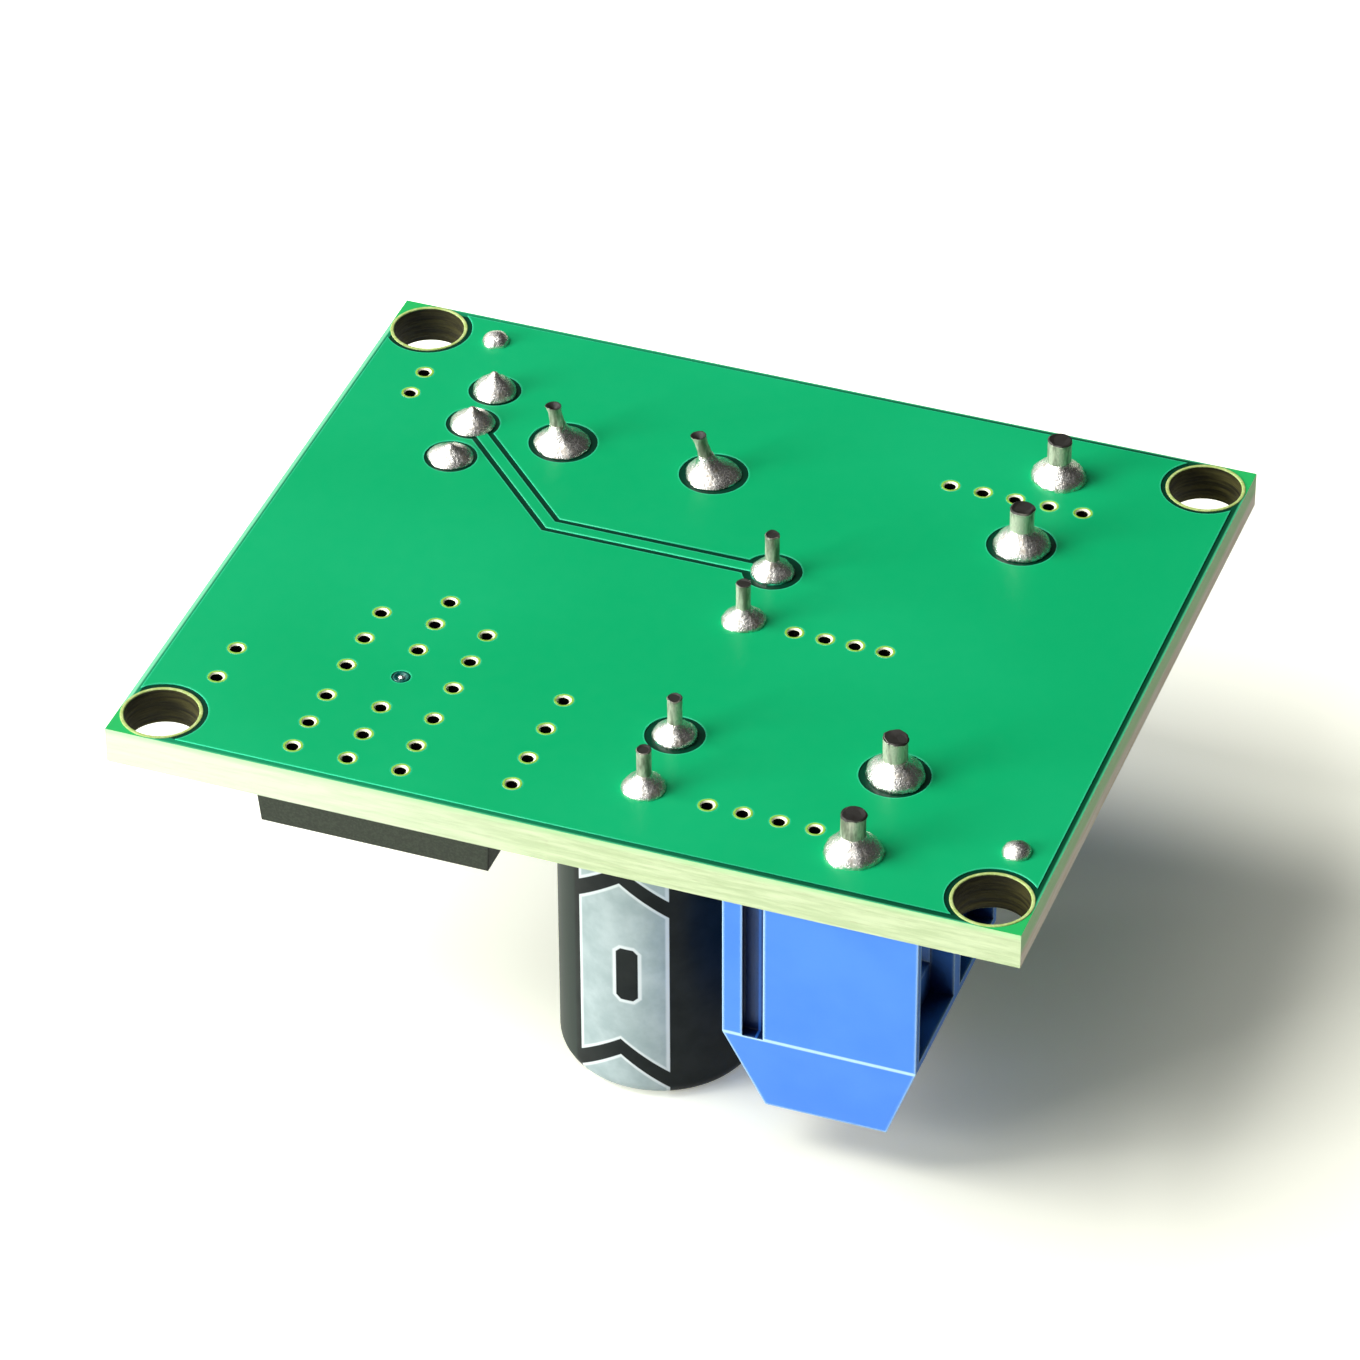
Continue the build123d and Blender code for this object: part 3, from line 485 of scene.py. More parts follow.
def package_look(banded=None):
    """Moulded epoxy with a fine grain and darker edges, and a pale band on the node that is named."""
    look = Look(banded or "package", (0.05, 0.055, 0.048), 0.0, 0.5)
    speck = look.noise(9.0, 5.0, 0.65)
    face = look.blend(speck, 0.4, 0.65, (0.018, 0.025, 0.016), (0.036, 0.047, 0.031))
    skin = look.mix(look.edge(0.22, 0.02, 0.2), face, (0.010, 0.011, 0.009))
    if banded:
        x, _, z = look.axes(look.where())
        low, high = corners(banded)
        off_band = look.step(look.off(x, high[0] - 0.95), 0.27, 0.30, 1.0, 0.0)
        band = look.math("MULTIPLY", off_band, look.step(z, low[2] + 0.06, low[2] + 0.09, 1.0, 0.0))
        ink = look.blend(speck, 0.4, 0.65, (0.55, 0.56, 0.54), (0.68, 0.69, 0.66))
        skin = look.mix(band, skin, ink)
    look.colour(skin)
    look.specular(0.3)
    look.roughness(look.step(speck, 0.3, 0.7, 0.42, 0.58))
    look.bump(speck, 0.02, 0.6, 0.1)
    return look.material


chip_cap = 0.42


def chip_look(node, body, speckle):
    """Chip part: ceramic body between two tinned ends, which lie along Y or X."""
    low, high = corners(node)
    centre = middle(node)
    along = 0 if high[0] - low[0] > high[1] - low[1] else 1
    half = (high[along] - low[along]) / 2
    look = Look(node, body, 0.0, 0.4)
    axis = look.axes(look.where())[along]
    cap = look.step(look.off(axis, centre[along]), half - chip_cap - 0.02, half - chip_cap + 0.02)
    grain = look.noise(8.0, 4.0, 0.6)
    ceramic = look.blend(grain, 0.4, 0.65, body, speckle)
    look.colour(look.mix(cap, ceramic, (0.78, 0.77, 0.74)))
    look.metallic(cap)
    look.roughness(look.math("ADD", look.math("MULTIPLY", cap, -0.1), 0.42))
    look.bump(grain, 0.02, 0.4, 0.06)
    return look.material


def block_look():
    """Moulded blue plastic of the terminal blocks, with painted highlights on its edges and along the
    crease of the sides, and painted shade in its hollows with a lighter painted line in the key slot."""
    crease_depth = 6.65
    line_half = 0.085
    slot_line_x = corners("input_terminal_housing")[0][0] + 1.38
    look = Look("blue_housing", (0.085, 0.29, 0.88), 0.0, 0.33)
    x, y, z = look.axes(look.where())
    normal = look.facing()
    # Painted highlight along the crease of the sides.
    off_crease = look.off(z, component_face - crease_depth)
    side = look.step(look.math("ABSOLUTE", normal[1]), 0.8, 0.95)
    near_crease = look.step(off_crease, line_half * 0.5, line_half * 1.3, 1.0, 0.0)
    crease = look.math("MULTIPLY", side, near_crease)
    drift = look.noise(0.25, 3.0, 0.5)
    base = look.blend(drift, 0.3, 0.7, (0.070, 0.255, 0.82), (0.085, 0.285, 0.87))
    # Painted shade: ambient occlusion paints the hollows deep navy, with a lighter painted line along the
    # key slot.
    open_sky = look.add("ShaderNodeAmbientOcclusion", only_local=True, samples=6)
    open_sky.inputs["Distance"].default_value = 2.0 * MM
    painted_hollow_shade = look.step(open_sky.outputs["AO"], 0.55, 0.92, 1.0, 0.0)
    hollow = look.blend(look.off(x, slot_line_x), 0.03, 0.07, (0.02, 0.13, 0.55), (0.0, 0.008, 0.06))
    base = look.mix(painted_hollow_shade, base, hollow)
    # Painted highlights on the edges and the crease, left out in the painted shade of the hollows.
    pale = look.math("MAXIMUM", crease, look.edge(0.2, 0.012, 0.11))
    pale = look.math("MULTIPLY", pale, look.math("SUBTRACT", 1.0, painted_hollow_shade))
    look.colour(look.mix(pale, base, (0.50, 0.77, 1.0)))
    look.roughness(look.step(look.noise(1.2, 3.0), 0.3, 0.7, 0.30, 0.40))
    look.specular(0.3)
    look.bump(look.noise(9.0, 3.0, 0.55), 0.010, 0.6, 0.09)
    return look.material


looks["board"] = board_look()
looks["mask"] = mask_look()
looks["solder"] = solder_look()
looks["tinned_wire"] = lead_look("tinned_wire")
looks["plated"] = plated_look()
looks["can"] = metal_look("can", (0.82, 0.83, 0.84), (0.62, 0.63, 0.64), (0.25, 0.4), (0.6, 0.6, 3.0))
looks["rubber"] = mineral_look("rubber", (0.012, 0.012, 0.012), (0.03, 0.03, 0.03), 5.0, 0.8)
looks["ferrite"] = mineral_look("ferrite", (0.055, 0.055, 0.058), (0.12, 0.12, 0.125), 7.0, 0.7)
looks["choke_sleeve"] = shrink_look()
looks["blue_housing"] = block_look()
looks["trimmer_blue"] = plastic_look(
    "trimmer_blue", (0.03, 0.145, 0.55), (0.024, 0.12, 0.48), (0.12, 0.30, 0.75), (0.3, 0.42)
)
looks["seal_resin"] = mineral_look("seal_resin", (0.30, 0.24, 0.12), (0.45, 0.38, 0.22), 2.0, 0.35)
looks["brass_screw"] = metal_look(
    "brass_screw", (0.86, 0.64, 0.25), (0.45, 0.30, 0.10), (0.2, 0.38), (3.0, 3.0, 3.0), 0.01, 0.05
)
looks["wheel_plastic"] = plastic_look(
    "wheel_plastic", (0.78, 0.75, 0.66), (0.68, 0.65, 0.56), (0.9, 0.88, 0.8), (0.4, 0.5)
)
looks["wiper"] = metal_look("wiper", (0.84, 0.68, 0.33), (0.5, 0.38, 0.16))
looks["element"] = mineral_look("element", (0.80, 0.79, 0.75), (0.60, 0.59, 0.55), 4.0, 0.55)
looks["contact"] = lead_look("contact")
looks["clamp"] = metal_look("clamp", (0.70, 0.68, 0.63), (0.42, 0.40, 0.34), (0.22, 0.4), rounded=0.08)
looks["screw"] = metal_look(
    "screw", (0.66, 0.67, 0.68), (0.36, 0.37, 0.38), (0.2, 0.4), (2.0, 2.0, 2.0), 0.012, 0.08
)
looks["package"] = package_look()
looks["slug"] = metal_look("slug", (0.72, 0.71, 0.68), (0.40, 0.38, 0.34), (0.25, 0.45), rounded=0.05)
looks["copper_winding"] = metal_look(
    "copper_winding", (0.80, 0.36, 0.14), (0.45, 0.16, 0.05), (0.2, 0.35), (0.3, 0.3, 4.0), 0.03
)
looks["silkscreen"] = mineral_look("silkscreen", (0.86, 0.87, 0.84), (0.72, 0.74, 0.70), 9.0, 0.6)
looks["plug"] = mineral_look("plug", (0.0, 0.10, 0.085), (0.01, 0.15, 0.12), 5.0, 0.2, 0.01)
looks["diode_body"] = package_look("diode_body")
looks["bare_laminate"] = mineral_look("bare_laminate", (0.45, 0.60, 0.16), (0.62, 0.74, 0.30), 5.0, 0.45)

slots = {row["node"]: row["material_slot"] for row in frame["record"]["subparts"]}
for name, node in frame["nodes"].items():
    slot = slots[name]
    if slot == "capacitor_sleeve":
        looks[name] = sleeve_look(name, cap_places[name.split("_")[0]])
    elif slot == "chip_capacitor":
        looks[name] = chip_look(name, (0.50, 0.36, 0.22), (0.60, 0.46, 0.30))
    elif slot == "chip_resistor":
        looks[name] = chip_look(name, (0.03, 0.03, 0.033), (0.06, 0.06, 0.065))
    node.data.materials.clear()
    node.data.materials.append(looks.get(name) or looks[slot])


# Meshes of this script's own pieces
def piece(name, mesh, look, body="module", replaced=()):
    """Make an object of a mesh in metres, dress it, and seat it on its body."""
    mesh.materials.clear()
    mesh.materials.append(looks[look])
    thing = bpy.data.objects.new(name, mesh)
    bpy.context.collection.objects.link(thing)
    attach(thing, body)
    if replaced:
        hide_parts(*replaced)
    return thing


def flat_mesh(name, outlines, low, thickness, edge=0.0):
    """Sheet with holes, from nested closed outlines in millimetres, with its edges rounded over."""
    curve = bpy.data.curves.new(name, "CURVE")
    curve.dimensions = "2D"
    curve.fill_mode = "BOTH"
    curve.extrude = (thickness / 2 - edge) * MM
    curve.bevel_depth = edge * MM
    curve.bevel_resolution = 1
    curve.offset = -edge * MM
    for outline in outlines:
        spline = curve.splines.new("POLY")
        spline.points.add(len(outline) - 1)
        spline.use_cyclic_u = True
        for point, (x, y) in zip(spline.points, outline):
            point.co = (x * MM, y * MM, 0, 1)
    holder = bpy.data.objects.new(name, curve)
    holder.location = (0, 0, (low + thickness / 2) * MM)
    bpy.context.collection.objects.link(holder)
    bpy.context.view_layer.update()
    mesh = bpy.data.meshes.new_from_object(holder.evaluated_get(bpy.context.evaluated_depsgraph_get()))
    mesh.transform(holder.matrix_world)
    bpy.data.objects.remove(holder)
    merge(mesh)
    return mesh


def merge(mesh, distance=0.0005):
    """Join the vertices of a mesh that lie in one place."""
    work = bmesh.new()
    work.from_mesh(mesh)
    bmesh.ops.remove_doubles(work, verts=work.verts, dist=distance * MM)
    bmesh.ops.recalc_face_normals(work, faces=work.faces)
    work.to_mesh(mesh)
    work.free()


def circle(x, y, radius, count=32):
    """Closed round outline."""
    step = 2 * math.pi / count
    return [(x + radius * math.cos(n * step), y + radius * math.sin(n * step)) for n in range(count)]


def arc(x, y, radius, start, sweep, count=16):
    """Points on an arc, angles in degrees."""
    angles = [math.radians(start + sweep * n / count) for n in range(count + 1)]
    return [(x + radius * math.cos(a), y + radius * math.sin(a)) for a in angles]


def padded_track(points, half, start_radius, end_radius):
    """Outline of a bent track of one width with a round pad at each end."""
    path = [Vector(point) for point in points]
    ways = [(b - a).normalized() for a, b in zip(path, path[1:])]
    sides = [Vector((-way.y, way.x)) for way in ways]
    left, right = [], []
    for bend, before, after in zip(path[1:-1], sides, sides[1:]):
        mitre = (before + after).normalized()
        mitre *= half / mitre.dot(before)
        left.append(bend + mitre)
        right.append(bend - mitre)
    end_angle = math.degrees(math.atan2(ways[-1].y, ways[-1].x))
    start_angle = math.degrees(math.atan2(ways[0].y, ways[0].x))
    end_half = math.degrees(math.asin(half / end_radius))
    start_half = math.degrees(math.asin(half / start_radius))
    outline = [tuple(point) for point in right]
    outline += arc(*path[-1], end_radius, end_angle - 180 + end_half, 360 - 2 * end_half, 40)
    outline += [tuple(point) for point in reversed(left)]
    outline += arc(*path[0], start_radius, start_angle + start_half, 360 - 2 * start_half, 40)
    return outline


def pour_outline():
    """Edge of the copper pour: inset from the board's edge and stepping round the corner holes."""
    offset = hole_inset - pour_inset
    along = math.sqrt(hole_clear**2 - offset**2)
    start = math.degrees(math.atan2(-along, offset))
    sweep = math.degrees(math.atan2(offset, -along)) - 360 - start
    outline = []
    for side, end in ((1, 1), (-1, 1), (-1, -1), (1, -1)):
        centre_x = side * (board_x - hole_inset)
        centre_y = end * (board_y - hole_inset)
        bend = arc(0, 0, hole_clear, start, sweep, 24)
        notch = [(centre_x + side * x, centre_y + end * y) for x, y in bend]
        outline += notch if side == end else reversed(notch)
    return outline


copper_raise = 0.05
copper_edge = 0.015
track_half = 0.25
groove = 0.24
pad_margin = groove + 0.1
pin_pad, sense_pad = 1.14, 1.24
via_clear = via_radius + 0.12
wiper_place = (trimmer_x, trimmer_y)
sense_place = (cap_places["output"][0], cap_places["output"][1] + cap_lead_pitch / 2)
bend_place = (wiper_place[0] + wiper_place[1] - sense_place[1], sense_place[1])
track_points = [wiper_place, bend_place, sense_place]

# Pads with a groove round them, and the radius that the groove reaches
ringed_pads = {
    (trimmer_x, trimmer_y + trimmer_pin_pitch): 1.12,
    (trimmer_x, trimmer_y - trimmer_pin_pitch): 1.12,
    (choke_x - choke_lead_pitch / 2, choke_y): 1.45,
    (choke_x + choke_lead_pitch / 2, choke_y): 1.45,
    (cap_places["input"][0], cap_places["input"][1] + cap_lead_pitch / 2): 1.22,
    (terminal_pin_x, pole_y["output_positive"]): 1.44,
    (terminal_pin_x, pole_y["input_positive"]): 1.44,
}
pour = [pour_outline()]
pour += [circle(*place, radius, 48) for place, radius in ringed_pads.items()]
pour += [circle(*place, radius - pad_margin, 48) for place, radius in ringed_pads.items()]
pour.append(padded_track(track_points, track_half + groove, pin_pad, sense_pad))
pour.append(padded_track(track_points, track_half, pin_pad - pad_margin, sense_pad - pad_margin))
pour += [circle(x, y, via_clear, 20) for x, y in vias]
pour_mesh = flat_mesh("solder_side_pour", pour, solder_face, copper_raise, copper_edge)
piece("solder_side_pour", pour_mesh, "mask")


def smooth(mesh, angle=40):
    """Smooth shading between faces that meet at less than an angle in degrees."""
    for polygon in mesh.polygons:
        polygon.use_smooth = True
    mesh.set_sharp_from_angle(angle=math.radians(angle))


def skin(work, rings, closed=False):
    """Faces between rings of vertices, with both ends covered unless the last ring joins the first."""
    pairs = list(zip(rings, rings[1:])) + ([(rings[-1], rings[0])] if closed else [])
    for low, high in pairs:
        for n in range(len(low)):
            m = (n + 1) % len(low)
            work.faces.new((low[n], low[m], high[m], high[n]))
    if not closed:
        work.faces.new(list(reversed(rings[0])))
        work.faces.new(rings[-1])


def finished(work, name, angle=40):
    """The mesh of a bmesh, which it frees, with outward normals and smooth shading."""
    bmesh.ops.recalc_face_normals(work, faces=work.faces)
    mesh = bpy.data.meshes.new(name)
    work.to_mesh(mesh)
    work.free()
    smooth(mesh, angle)
    return mesh


def lathe_mesh(name, places, profile, count=32, uneven=0.0, streaks=0.0, closed=False):
    """Solids of revolution about Z at several places, from (radius, height) pairs in millimetres.

    uneven is a slow change of radius round the axis and streaks a fast one, both as shares of it.
    A closed profile is a loop beside the axis and makes a ring."""
    work = bmesh.new()
    for x, y in places:
        seed = Vector((x * 3.1, y * 2.7, 0.5))
        rings = []
        for radius, height in profile:
            ring = []
            for n in range(count):
                angle = 2 * math.pi * n / count
                way = Vector((math.cos(angle), math.sin(angle), 0))
                wave = uneven * noise.noise(seed + way * 0.9) + streaks * noise.noise(seed + way * 5.0)
                reach = radius * (1 + wave)
                spot = (x + reach * way.x, y + reach * way.y, height)
                ring.append(work.verts.new([value * MM for value in spot]))
            rings.append(ring)
        skin(work, rings, closed)
    return finished(work, name)


def over_board(pairs):
    """(radius, height over the board) pairs, with their heights made those of the frame."""
    return [(radius, solder_face + height) for radius, height in pairs]


# Solder joints: each fills its hole and climbs the lead, (radius, height over the board) pairs
hole_gap = 0.15
dome_hole = 0.4
terminal_fillet = [(1.19, 0.05), (1.18, 0.16), (1.12, 0.28), (1.01, 0.41), (0.87, 0.53), (0.73, 0.64),
                   (0.62, 0.74), (0.54, 0.85), (0.50, 0.93)]
choke_fillet = [(1.19, 0.05), (1.17, 0.12), (1.05, 0.22), (0.89, 0.32), (0.72, 0.43), (0.57, 0.56),
                (0.46, 0.70), (0.38, 0.85), (0.33, 1.0)]
cap_fillet = [(0.91, 0.05), (0.90, 0.13), (0.83, 0.23), (0.71, 0.33), (0.57, 0.43), (0.45, 0.54),
              (0.36, 0.65), (0.31, 0.74)]
trimmer_fillet = [(0.96, 0.05), (0.93, 0.15), (0.84, 0.28), (0.69, 0.42), (0.52, 0.55), (0.34, 0.68),
                  (0.20, 0.82), (0.11, 0.92), (0.03, 0.96)]
dome_fillet = [(0.60, 0.05), (0.58, 0.14), (0.53, 0.24), (0.43, 0.34), (0.29, 0.42), (0.14, 0.46),
               (0.02, 0.47)]

choke_leads = [(choke_x + way * choke_lead_pitch / 2, choke_y) for way in (-1, 1)]
trimmer_pins = [(trimmer_x, trimmer_y + step * trimmer_pin_pitch) for step in (-1, 0, 1)]
cap_leads = [(x, y + way * cap_lead_pitch / 2) for x, y in cap_places.values() for way in (1, -1)]
terminal_pins = [(terminal_pin_x, y) for y in pole_y.values()]
trimmer_rises = [0.70, 0.92, 1.05]
choke_leans = [-0.42, -0.7]
dome_places = [(-14.23, 14.3), (17.3, -11.3)]
joints = {
    "terminal_solder_joints": (terminal_pins, terminal_pin_radius + hole_gap, terminal_fillet),
    "capacitor_solder_joints": (cap_leads, cap_lead_radius + hole_gap, cap_fillet),
    "choke_solder_joints": (choke_leads, choke_lead_radius + hole_gap, choke_fillet),
    "trimmer_solder_joints": (trimmer_pins, trimmer_pin_reach + hole_gap, trimmer_fillet),
    "solder_domes": (dome_places, dome_hole, dome_fillet),
}
for node, (places, hole, fillet) in joints.items():
    profile = [(0.02, component_face), (hole, component_face), (hole, solder_face)]
    profile += [(fillet[0][0] * 0.97, solder_face)]
    profile += over_board(fillet)
    mesh = lathe_mesh(f"{node}_dressed", places, profile, 48, 0.10, 0.035)
    if node == "choke_solder_joints":
        for vertex in mesh.vertices:
            rise = vertex.co.z / MM - solder_face
            side = int(vertex.co.x / MM > choke_x)
            vertex.co.x += choke_leans[side] * max(rise, 0) / lead_proud * MM
    if node == "trimmer_solder_joints":
        for vertex in mesh.vertices:
            rise = vertex.co.z / MM - solder_face
            nearest = min(range(3), key=lambda n: abs(vertex.co.y / MM - trimmer_pins[n][1]))
            if rise > 0:
                vertex.co.z = (solder_face + rise * trimmer_rises[nearest]) * MM
    piece(f"{node}_dressed", mesh, "solder", replaced=[node])


# Capacitor sleeves, drawn tight so that they bridge the can's crimp
sleeve_top = 12.13
can_radius, can_corner, can_bottom, can_top = 3.975, 0.8, 0.125, 12.005
sleeve_corner = 0.72
lip_radius = 2.82
sleeve_profile = [(lip_radius, 0.0)]
sleeve_profile += arc(sleeve_radius - sleeve_corner, sleeve_corner, sleeve_corner, -90, 90, 8)
sleeve_profile += arc(sleeve_radius - 0.2, sleeve_top - 0.2, 0.2, 0, 90, 4)
sleeve_profile += [(lip_radius, sleeve_top), (lip_radius, can_top), (can_radius, can_top)]
sleeve_profile += arc(can_radius - can_corner, can_bottom + can_corner, can_corner, 0, -90, 6)
sleeve_profile += [(lip_radius, can_bottom)]
for rail, place in cap_places.items():
    node = f"{rail}_capacitor_sleeve"
    mesh = lathe_mesh(f"{node}_dressed", [place], sleeve_profile, 96, closed=True)
    piece(f"{node}_dressed", mesh, node, replaced=[node])


# Cut ends of the straight leads, rough where the cutter went through
def cut_ends(name, places, radius):
    """Ragged dark tips on leads that end at one height."""
    top = solder_face + lead_proud
    profile = [(0.02, top - 0.10), (radius * 1.01, top - 0.10), (radius * 1.05, top - 0.02),
               (radius * 0.92, top + 0.03), (radius * 0.5, top - 0.01), (0.02, top - 0.02)]
    mesh = lathe_mesh(name, places, profile, 24, 0.12, 0.08)
    for vertex in mesh.vertices:
        if vertex.co.z > (top - 0.05) * MM:
            vertex.co.z += 0.07 * MM * noise.noise(vertex.co / MM * 1.9)
    piece(name, mesh, "tinned_wire")


cut_ends("terminal_pin_cuts", terminal_pins, terminal_pin_radius)
cut_ends("capacitor_lead_cuts", cap_leads, cap_lead_radius)


# Choke leads: thinned where the cutter drew them, leaning, with a ragged open lip
lead_rings = [(choke_lead_radius, corners("choke_leads")[0][2])]
lead_rings += over_board([(choke_lead_radius, 0.1), (0.36, 0.7), (0.30, 1.1), (0.28, 1.5), (0.31, 1.74),
                          (0.34, 1.85), (0.27, 1.83), (0.10, 1.68), (0.02, 1.66)])
lead_mesh = lathe_mesh("choke_leads_dressed", choke_leads, lead_rings, 28, 0.08, 0.05)
for vertex in lead_mesh.vertices:
    rise = max(vertex.co.z / MM - solder_face, 0)
    side = int(vertex.co.x / MM > choke_x)
    if rise > 1.7:
        vertex.co.z += 0.09 * MM * noise.noise(vertex.co / MM * 1.6)
    vertex.co.x += choke_leans[side] * rise / lead_proud * MM
piece("choke_leads_dressed", lead_mesh, "tinned_wire", replaced=["choke_leads"])


# Plated holes: a barrel that flares into a funnel inside a raised ring on each face
ring_reach = 0.395
lip = 0.315
throat = 0.25
drill_drift = (-0.028, -0.024)
via_sides = 24
via_profile = [
    (throat, component_face + 0.5), (throat, component_face), (lip, component_face - ring_raise),
    (ring_reach, component_face - ring_raise), (ring_reach, component_face), (via_radius, component_face),
    (via_radius, solder_face), (ring_reach, solder_face), (ring_reach, solder_face + ring_raise),
    (lip, solder_face + ring_raise), (throat, solder_face), (throat, solder_face - 0.5),
]
open_vias = [place for place in vias if place != plugged_via]
via_mesh = lathe_mesh("plated_vias", open_vias, via_profile, via_sides, 0.05, 0.04, closed=True)
for number, vertex in enumerate(via_mesh.vertices):
    if via_profile[number // via_sides % len(via_profile)][0] == throat:
        vertex.co.x += drill_drift[0] * MM
        vertex.co.y += drill_drift[1] * MM
piece("plated_vias", via_mesh, "plated")
plug_profile = [(0.02, component_face - 0.01), (via_radius, component_face), (via_radius, solder_face)]
plug_profile += over_board([(0.36, 0), (0.32, 0.055), (0.25, 0.05), (0.16, -0.04), (0.02, -0.05)])
plug_mesh = lathe_mesh("plugged_via", [plugged_via], plug_profile, 24, 0.05)
piece("plugged_via", plug_mesh, "plug")
drop_profile = over_board([(0.13, -0.05), (0.12, 0.03), (0.07, 0.07), (0.01, 0.08)])
drop_mesh = lathe_mesh("plugged_via_drop", [plugged_via], drop_profile, 20, 0.08)
piece("plugged_via_drop", drop_mesh, "solder")

# Pale rims where the mask stops short of the corner holes
hole_rim_reach = 1.66
rim_profile = over_board([(hole_radius, 0), (hole_rim_reach, 0), (hole_rim_reach - 0.02, 0.03),
                          (hole_radius + 0.03, 0.03)])
rims = lathe_mesh("hole_rims", hole_places, rim_profile, 64, closed=True)
piece("hole_rims", rims, "bare_laminate")
low_rim_profile = [(radius, solder_face + component_face - height) for radius, height in rim_profile]
low_rims = lathe_mesh("hole_rims_component_side", hole_places, low_rim_profile, 64, closed=True)
piece("hole_rims_component_side", low_rims, "bare_laminate")


# Component side: copper under the mask, soldered feet and printed outlines
def rectangle(x0, y0, x1, y1, corner=0.0):
    """Closed outline, its corners rounded."""
    if not corner:
        return [(x0, y0), (x1, y0), (x1, y1), (x0, y1)]
    left, right, low, high = x0 + corner, x1 - corner, y0 + corner, y1 - corner
    centres = [(right, high), (left, high), (left, low), (right, low)]
    return [point for n, centre in enumerate(centres) for point in arc(*centre, corner, 90 * n, 90, 5)]


def grown(box, by):
    """A box that reaches further by one length on all sides."""
    return box[0] - by, box[1] - by, box[2] + by, box[3] + by


def stacked_mesh(name, stacks):
    """Closed solids, each from outlines with the same number of points at rising heights."""
    work = bmesh.new()
    for levels in stacks:
        rings = []
        for outline, height in levels:
            rings.append([work.verts.new((x * MM, y * MM, height * MM)) for x, y in outline])
        skin(work, rings)
    return finished(work, name, 50)


# Soldered feet as (box, how far the solder reaches, how high it climbs)
slug_low, slug_high = corners("regulator_slug")
slug_foot = -4.0
lead_step = 1.7
foot_half = 0.4
foot_length = 2.2
diode_foot = 1.1
feet = []
for n in (-2, -1, 0, 1, 2):
    x = middle("regulator_leads")[0] + n * lead_step
    feet.append(((x - foot_half, slug_high[1] - foot_length, x + foot_half, slug_high[1]), 0.24, 0.32))
feet.append(((slug_low[0], slug_low[1], slug_high[0], slug_foot), 0.3, 0.45))
diode_low, diode_high = corners("diode_leads")
feet.append(((diode_low[0], diode_low[1], diode_low[0] + diode_foot, diode_high[1]), 0.26, 0.22))
feet.append(((diode_high[0] - diode_foot, diode_low[1], diode_high[0], diode_high[1]), 0.26, 0.22))
for chip in ("output_chip_capacitor", "input_chip_capacitor", "divider_resistor", "feedback_resistor"):
    low, high = corners(chip)
    climb = 0.6 * (high[2] - low[2])
    if high[0] - low[0] > high[1] - low[1]:
        feet.append(((low[0], low[1], low[0] + chip_cap, high[1]), 0.22, climb))
        feet.append(((high[0] - chip_cap, low[1], high[0], high[1]), 0.22, climb))
    else:
        feet.append(((low[0], low[1], high[0], low[1] + chip_cap), 0.22, climb))
        feet.append(((low[0], high[1] - chip_cap, high[0], high[1]), 0.22, climb))

low_pour = [pour_outline()]
low_pour += [
    circle(x, y, via_clear, 20) for x, y in vias if not (slug_low[0] < x < slug_high[0] and y < slug_foot)
]
low_pour += [rectangle(*grown(box, reach + 0.13), 0.2) for box, reach, _ in feet]
low_copper_raise = 0.04
low_mesh = flat_mesh(
    "component_side_pour", low_pour, component_face - low_copper_raise, low_copper_raise, 0.01
)
piece("component_side_pour", low_mesh, "mask")

fillets = []
for box, reach, climb in feet:
    levels = [(rectangle(*grown(box, reach), 0.15), component_face)]
    for share, height in ((1.0, 0.04), (0.62, 0.13), (0.30, 0.38), (0.08, 0.85), (-0.05, 1.0)):
        outline = rectangle(*grown(box, reach * share), 0.12)
        levels.append((outline, component_face - max(climb * height, 0.035)))
    fillets.append(levels)
piece("component_feet_solder", stacked_mesh("component_feet_solder", fillets), "solder")

# Printed outlines round the parts
ink_thickness = 0.015
ink_line = 0.14
ring_line = 0.12
choke_ring = 4.81
cap_ring = 4.33
regulator_frame = (-14.82, -15.25, -3.88, 2.35)
trimmer_frame = (-15.62, 3.30, -10.39, 13.40)
diode_from, diode_to = 0.7, 5.5
diode_lines = (7.52, 11.74)
block_start, block_end = 7.0, 15.22
block_inner, block_outer = 5.0, 15.7
mark_x = 16.3
mark_half = 0.55
mark_step = 1.4
stroke = 0.08


def ring_lines(x, y, radius):
    return [circle(x, y, radius, 64), circle(x, y, radius - ring_line, 64)]


printed = ring_lines(choke_x, choke_y, choke_ring)
for place in cap_places.values():
    printed += ring_lines(*place, cap_ring)
for box in (regulator_frame, trimmer_frame):
    printed += [rectangle(*box), rectangle(*grown(box, -ink_line))]
for y in diode_lines:
    printed.append(rectangle(diode_from, y, diode_to, y + ink_line))
for way in (-1, 1):
    inner, outer, second = way * block_inner, way * block_outer, way * (block_inner + ink_line)
    printed.append([
        (block_start, inner), (block_end, inner), (block_end, outer),
        (block_end - ink_line, outer), (block_end - ink_line, second), (block_start, second),
    ])
for housing, plus_way in (("output_terminal_housing", -1), ("input_terminal_housing", 1)):
    centre = middle(housing)[1]
    plus_y = centre + plus_way * mark_step
    minus_y = centre - plus_way * mark_step
    printed.append(rectangle(mark_x - stroke, minus_y - mark_half, mark_x + stroke, minus_y + mark_half))
    quarter = [(stroke, stroke), (stroke, mark_half), (-stroke, mark_half)]
    plus = []
    for _ in range(4):
        plus += quarter
        quarter = [(-v, u) for u, v in quarter]
    printed.append([(mark_x + u, plus_y + v) for u, v in plus])
ink_low = component_face - low_copper_raise - ink_thickness
print_mesh = flat_mesh("printed_outlines", printed, ink_low, ink_thickness)
piece("printed_outlines", print_mesh, "silkscreen")


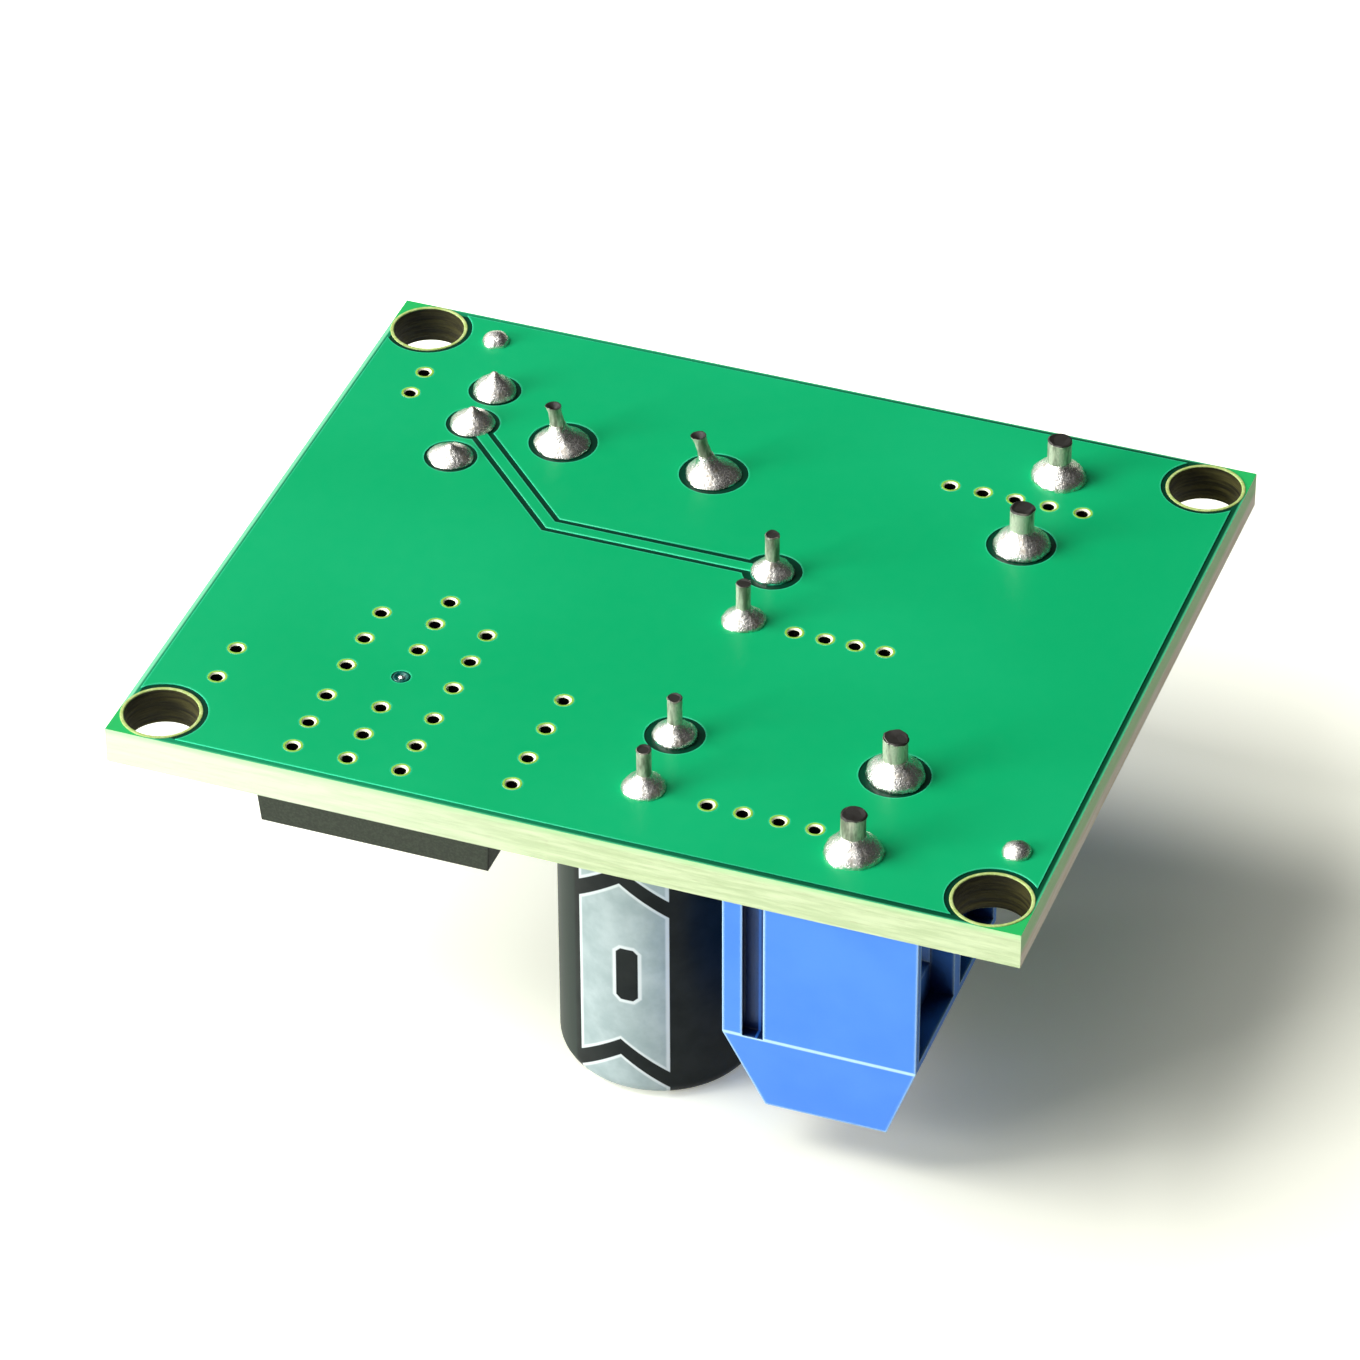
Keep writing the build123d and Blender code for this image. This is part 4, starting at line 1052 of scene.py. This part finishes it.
# Floor and light, in metres
half_floor = 1.5
floor_mesh = bpy.data.meshes.new("floor")
floor_corners = rectangle(-half_floor, -half_floor, half_floor, half_floor)
floor_mesh.from_pydata([(x, y, 0) for x, y in floor_corners], [], [(0, 1, 2, 3)])
floor = bpy.data.objects.new("floor", floor_mesh)
bpy.context.collection.objects.link(floor)
floor_look = Look("floor", (1.0, 1.0, 0.985), 0.0, 0.9)
floor_look.specular(0.0)
across, along, _ = floor_look.axes(floor_look.where())
# Painted light: emission that camera, glossy and transmission rays see. It is brightest on the left and
# behind the board, where it washes out the object's shadow, weakest at the right, and a little stronger
# far out to the right.
painted_floor_light = floor_look.step(across, -6.0, 16.0, 0.50, 0.05)
painted_floor_light = floor_look.math("ADD", painted_floor_light, floor_look.step(across, 17.0, 34.0, 0.0, 0.16))
painted_floor_light = floor_look.math("ADD", painted_floor_light, floor_look.step(along, 6.0, 14.0, 0.0, 0.45))
rays = floor_look.add("ShaderNodeLightPath").outputs
seen = floor_look.math("MAXIMUM", rays["Is Camera Ray"], rays["Is Transmission Ray"])
seen = floor_look.math("MAXIMUM", seen, rays["Is Glossy Ray"])
floor_look.colour(floor_look.mix(seen, (0.55, 0.55, 0.54), (1.0, 1.0, 0.88)))
floor_look.put(floor_look.shader.inputs["Emission Strength"], floor_look.math("MULTIPLY", painted_floor_light, seen))
floor_look.shader.inputs["Emission Color"].default_value = (1.0, 1.0, 0.86, 1.0)
floor_mesh.materials.append(floor_look.material)


# A dark folding card that stands on the right and behind. Only glossy rays see it, and it gives the
# metal its dark side.
card_height = 0.9
card_plan = [(-0.55, 0.93), (0.17, 0.02), (0.25, -0.9)]
card_mesh = bpy.data.meshes.new("dark_card")
card_mesh.from_pydata(
    [(x, y, z) for z in (0, card_height) for x, y in card_plan], [], [(0, 1, 4, 3), (1, 2, 5, 4)],
)
card = bpy.data.objects.new("dark_card", card_mesh)
bpy.context.collection.objects.link(card)
card.visible_camera = False
card.visible_diffuse = False
card.visible_shadow = False
card.visible_transmission = False
card_look = Look("dark_card", (0.03, 0.03, 0.03), 0.0, 1.0)
card_look.specular(0.0)
card_mesh.materials.append(card_look.material)


def lamp(name, place, target, size, power, colour=(1, 1, 1)):
    """Square soft light, place and target in metres."""
    data = bpy.data.lights.new(name, "AREA")
    data.size = size
    data.energy = power
    data.color = colour
    light = bpy.data.objects.new(name, data)
    light.location = place
    light.rotation_euler = (Vector(target) - Vector(place)).to_track_quat("-Z", "Y").to_euler()
    bpy.context.collection.objects.link(light)


lamp("key", (-0.56, -0.16, 0.717), (0, 0, 0.005), 0.544, 7.9, (1.0, 0.995, 0.98))
lamp("front", (-0.755, -0.675, 0.255), (-0.005, -0.005, 0.005), 0.52, 12.6)

world = bpy.data.worlds.new("world")
world.use_nodes = True
scene.world = world
tree = world.node_tree
paths = tree.nodes.new("ShaderNodeLightPath")
direction = tree.nodes.new("ShaderNodeTexCoord")

# Diffuse light from the sky, a little stronger on the side of the lamps
lit_side = tree.nodes.new("ShaderNodeVectorMath")
lit_side.operation = "DOT_PRODUCT"
lit_side.inputs[1].default_value = (0.94, 0.35, 0.0)
tree.links.new(direction.outputs["Generated"], lit_side.inputs[0])
sky = tree.nodes.new("ShaderNodeMapRange")
for name, number in (("From Min", -0.55), ("From Max", 0.35), ("To Min", 0.25), ("To Max", 0.15)):
    sky.inputs[name].default_value = number
tree.links.new(lit_side.outputs["Value"], sky.inputs["Value"])

# White for the rays that show the background
strength = sky.outputs["Result"]
for kind in ("Is Glossy Ray", "Is Transmission Ray", "Is Camera Ray"):
    white = tree.nodes.new("ShaderNodeMix")
    white.data_type = "FLOAT"
    tree.links.new(paths.outputs[kind], white.inputs["Factor"])
    tree.links.new(strength, white.inputs[2])
    white.inputs[3].default_value = 1.0
    strength = white.outputs[0]
background = tree.nodes["Background"]
tree.links.new(strength, background.inputs["Strength"])
background.inputs["Color"].default_value = (1, 1, 1, 1)
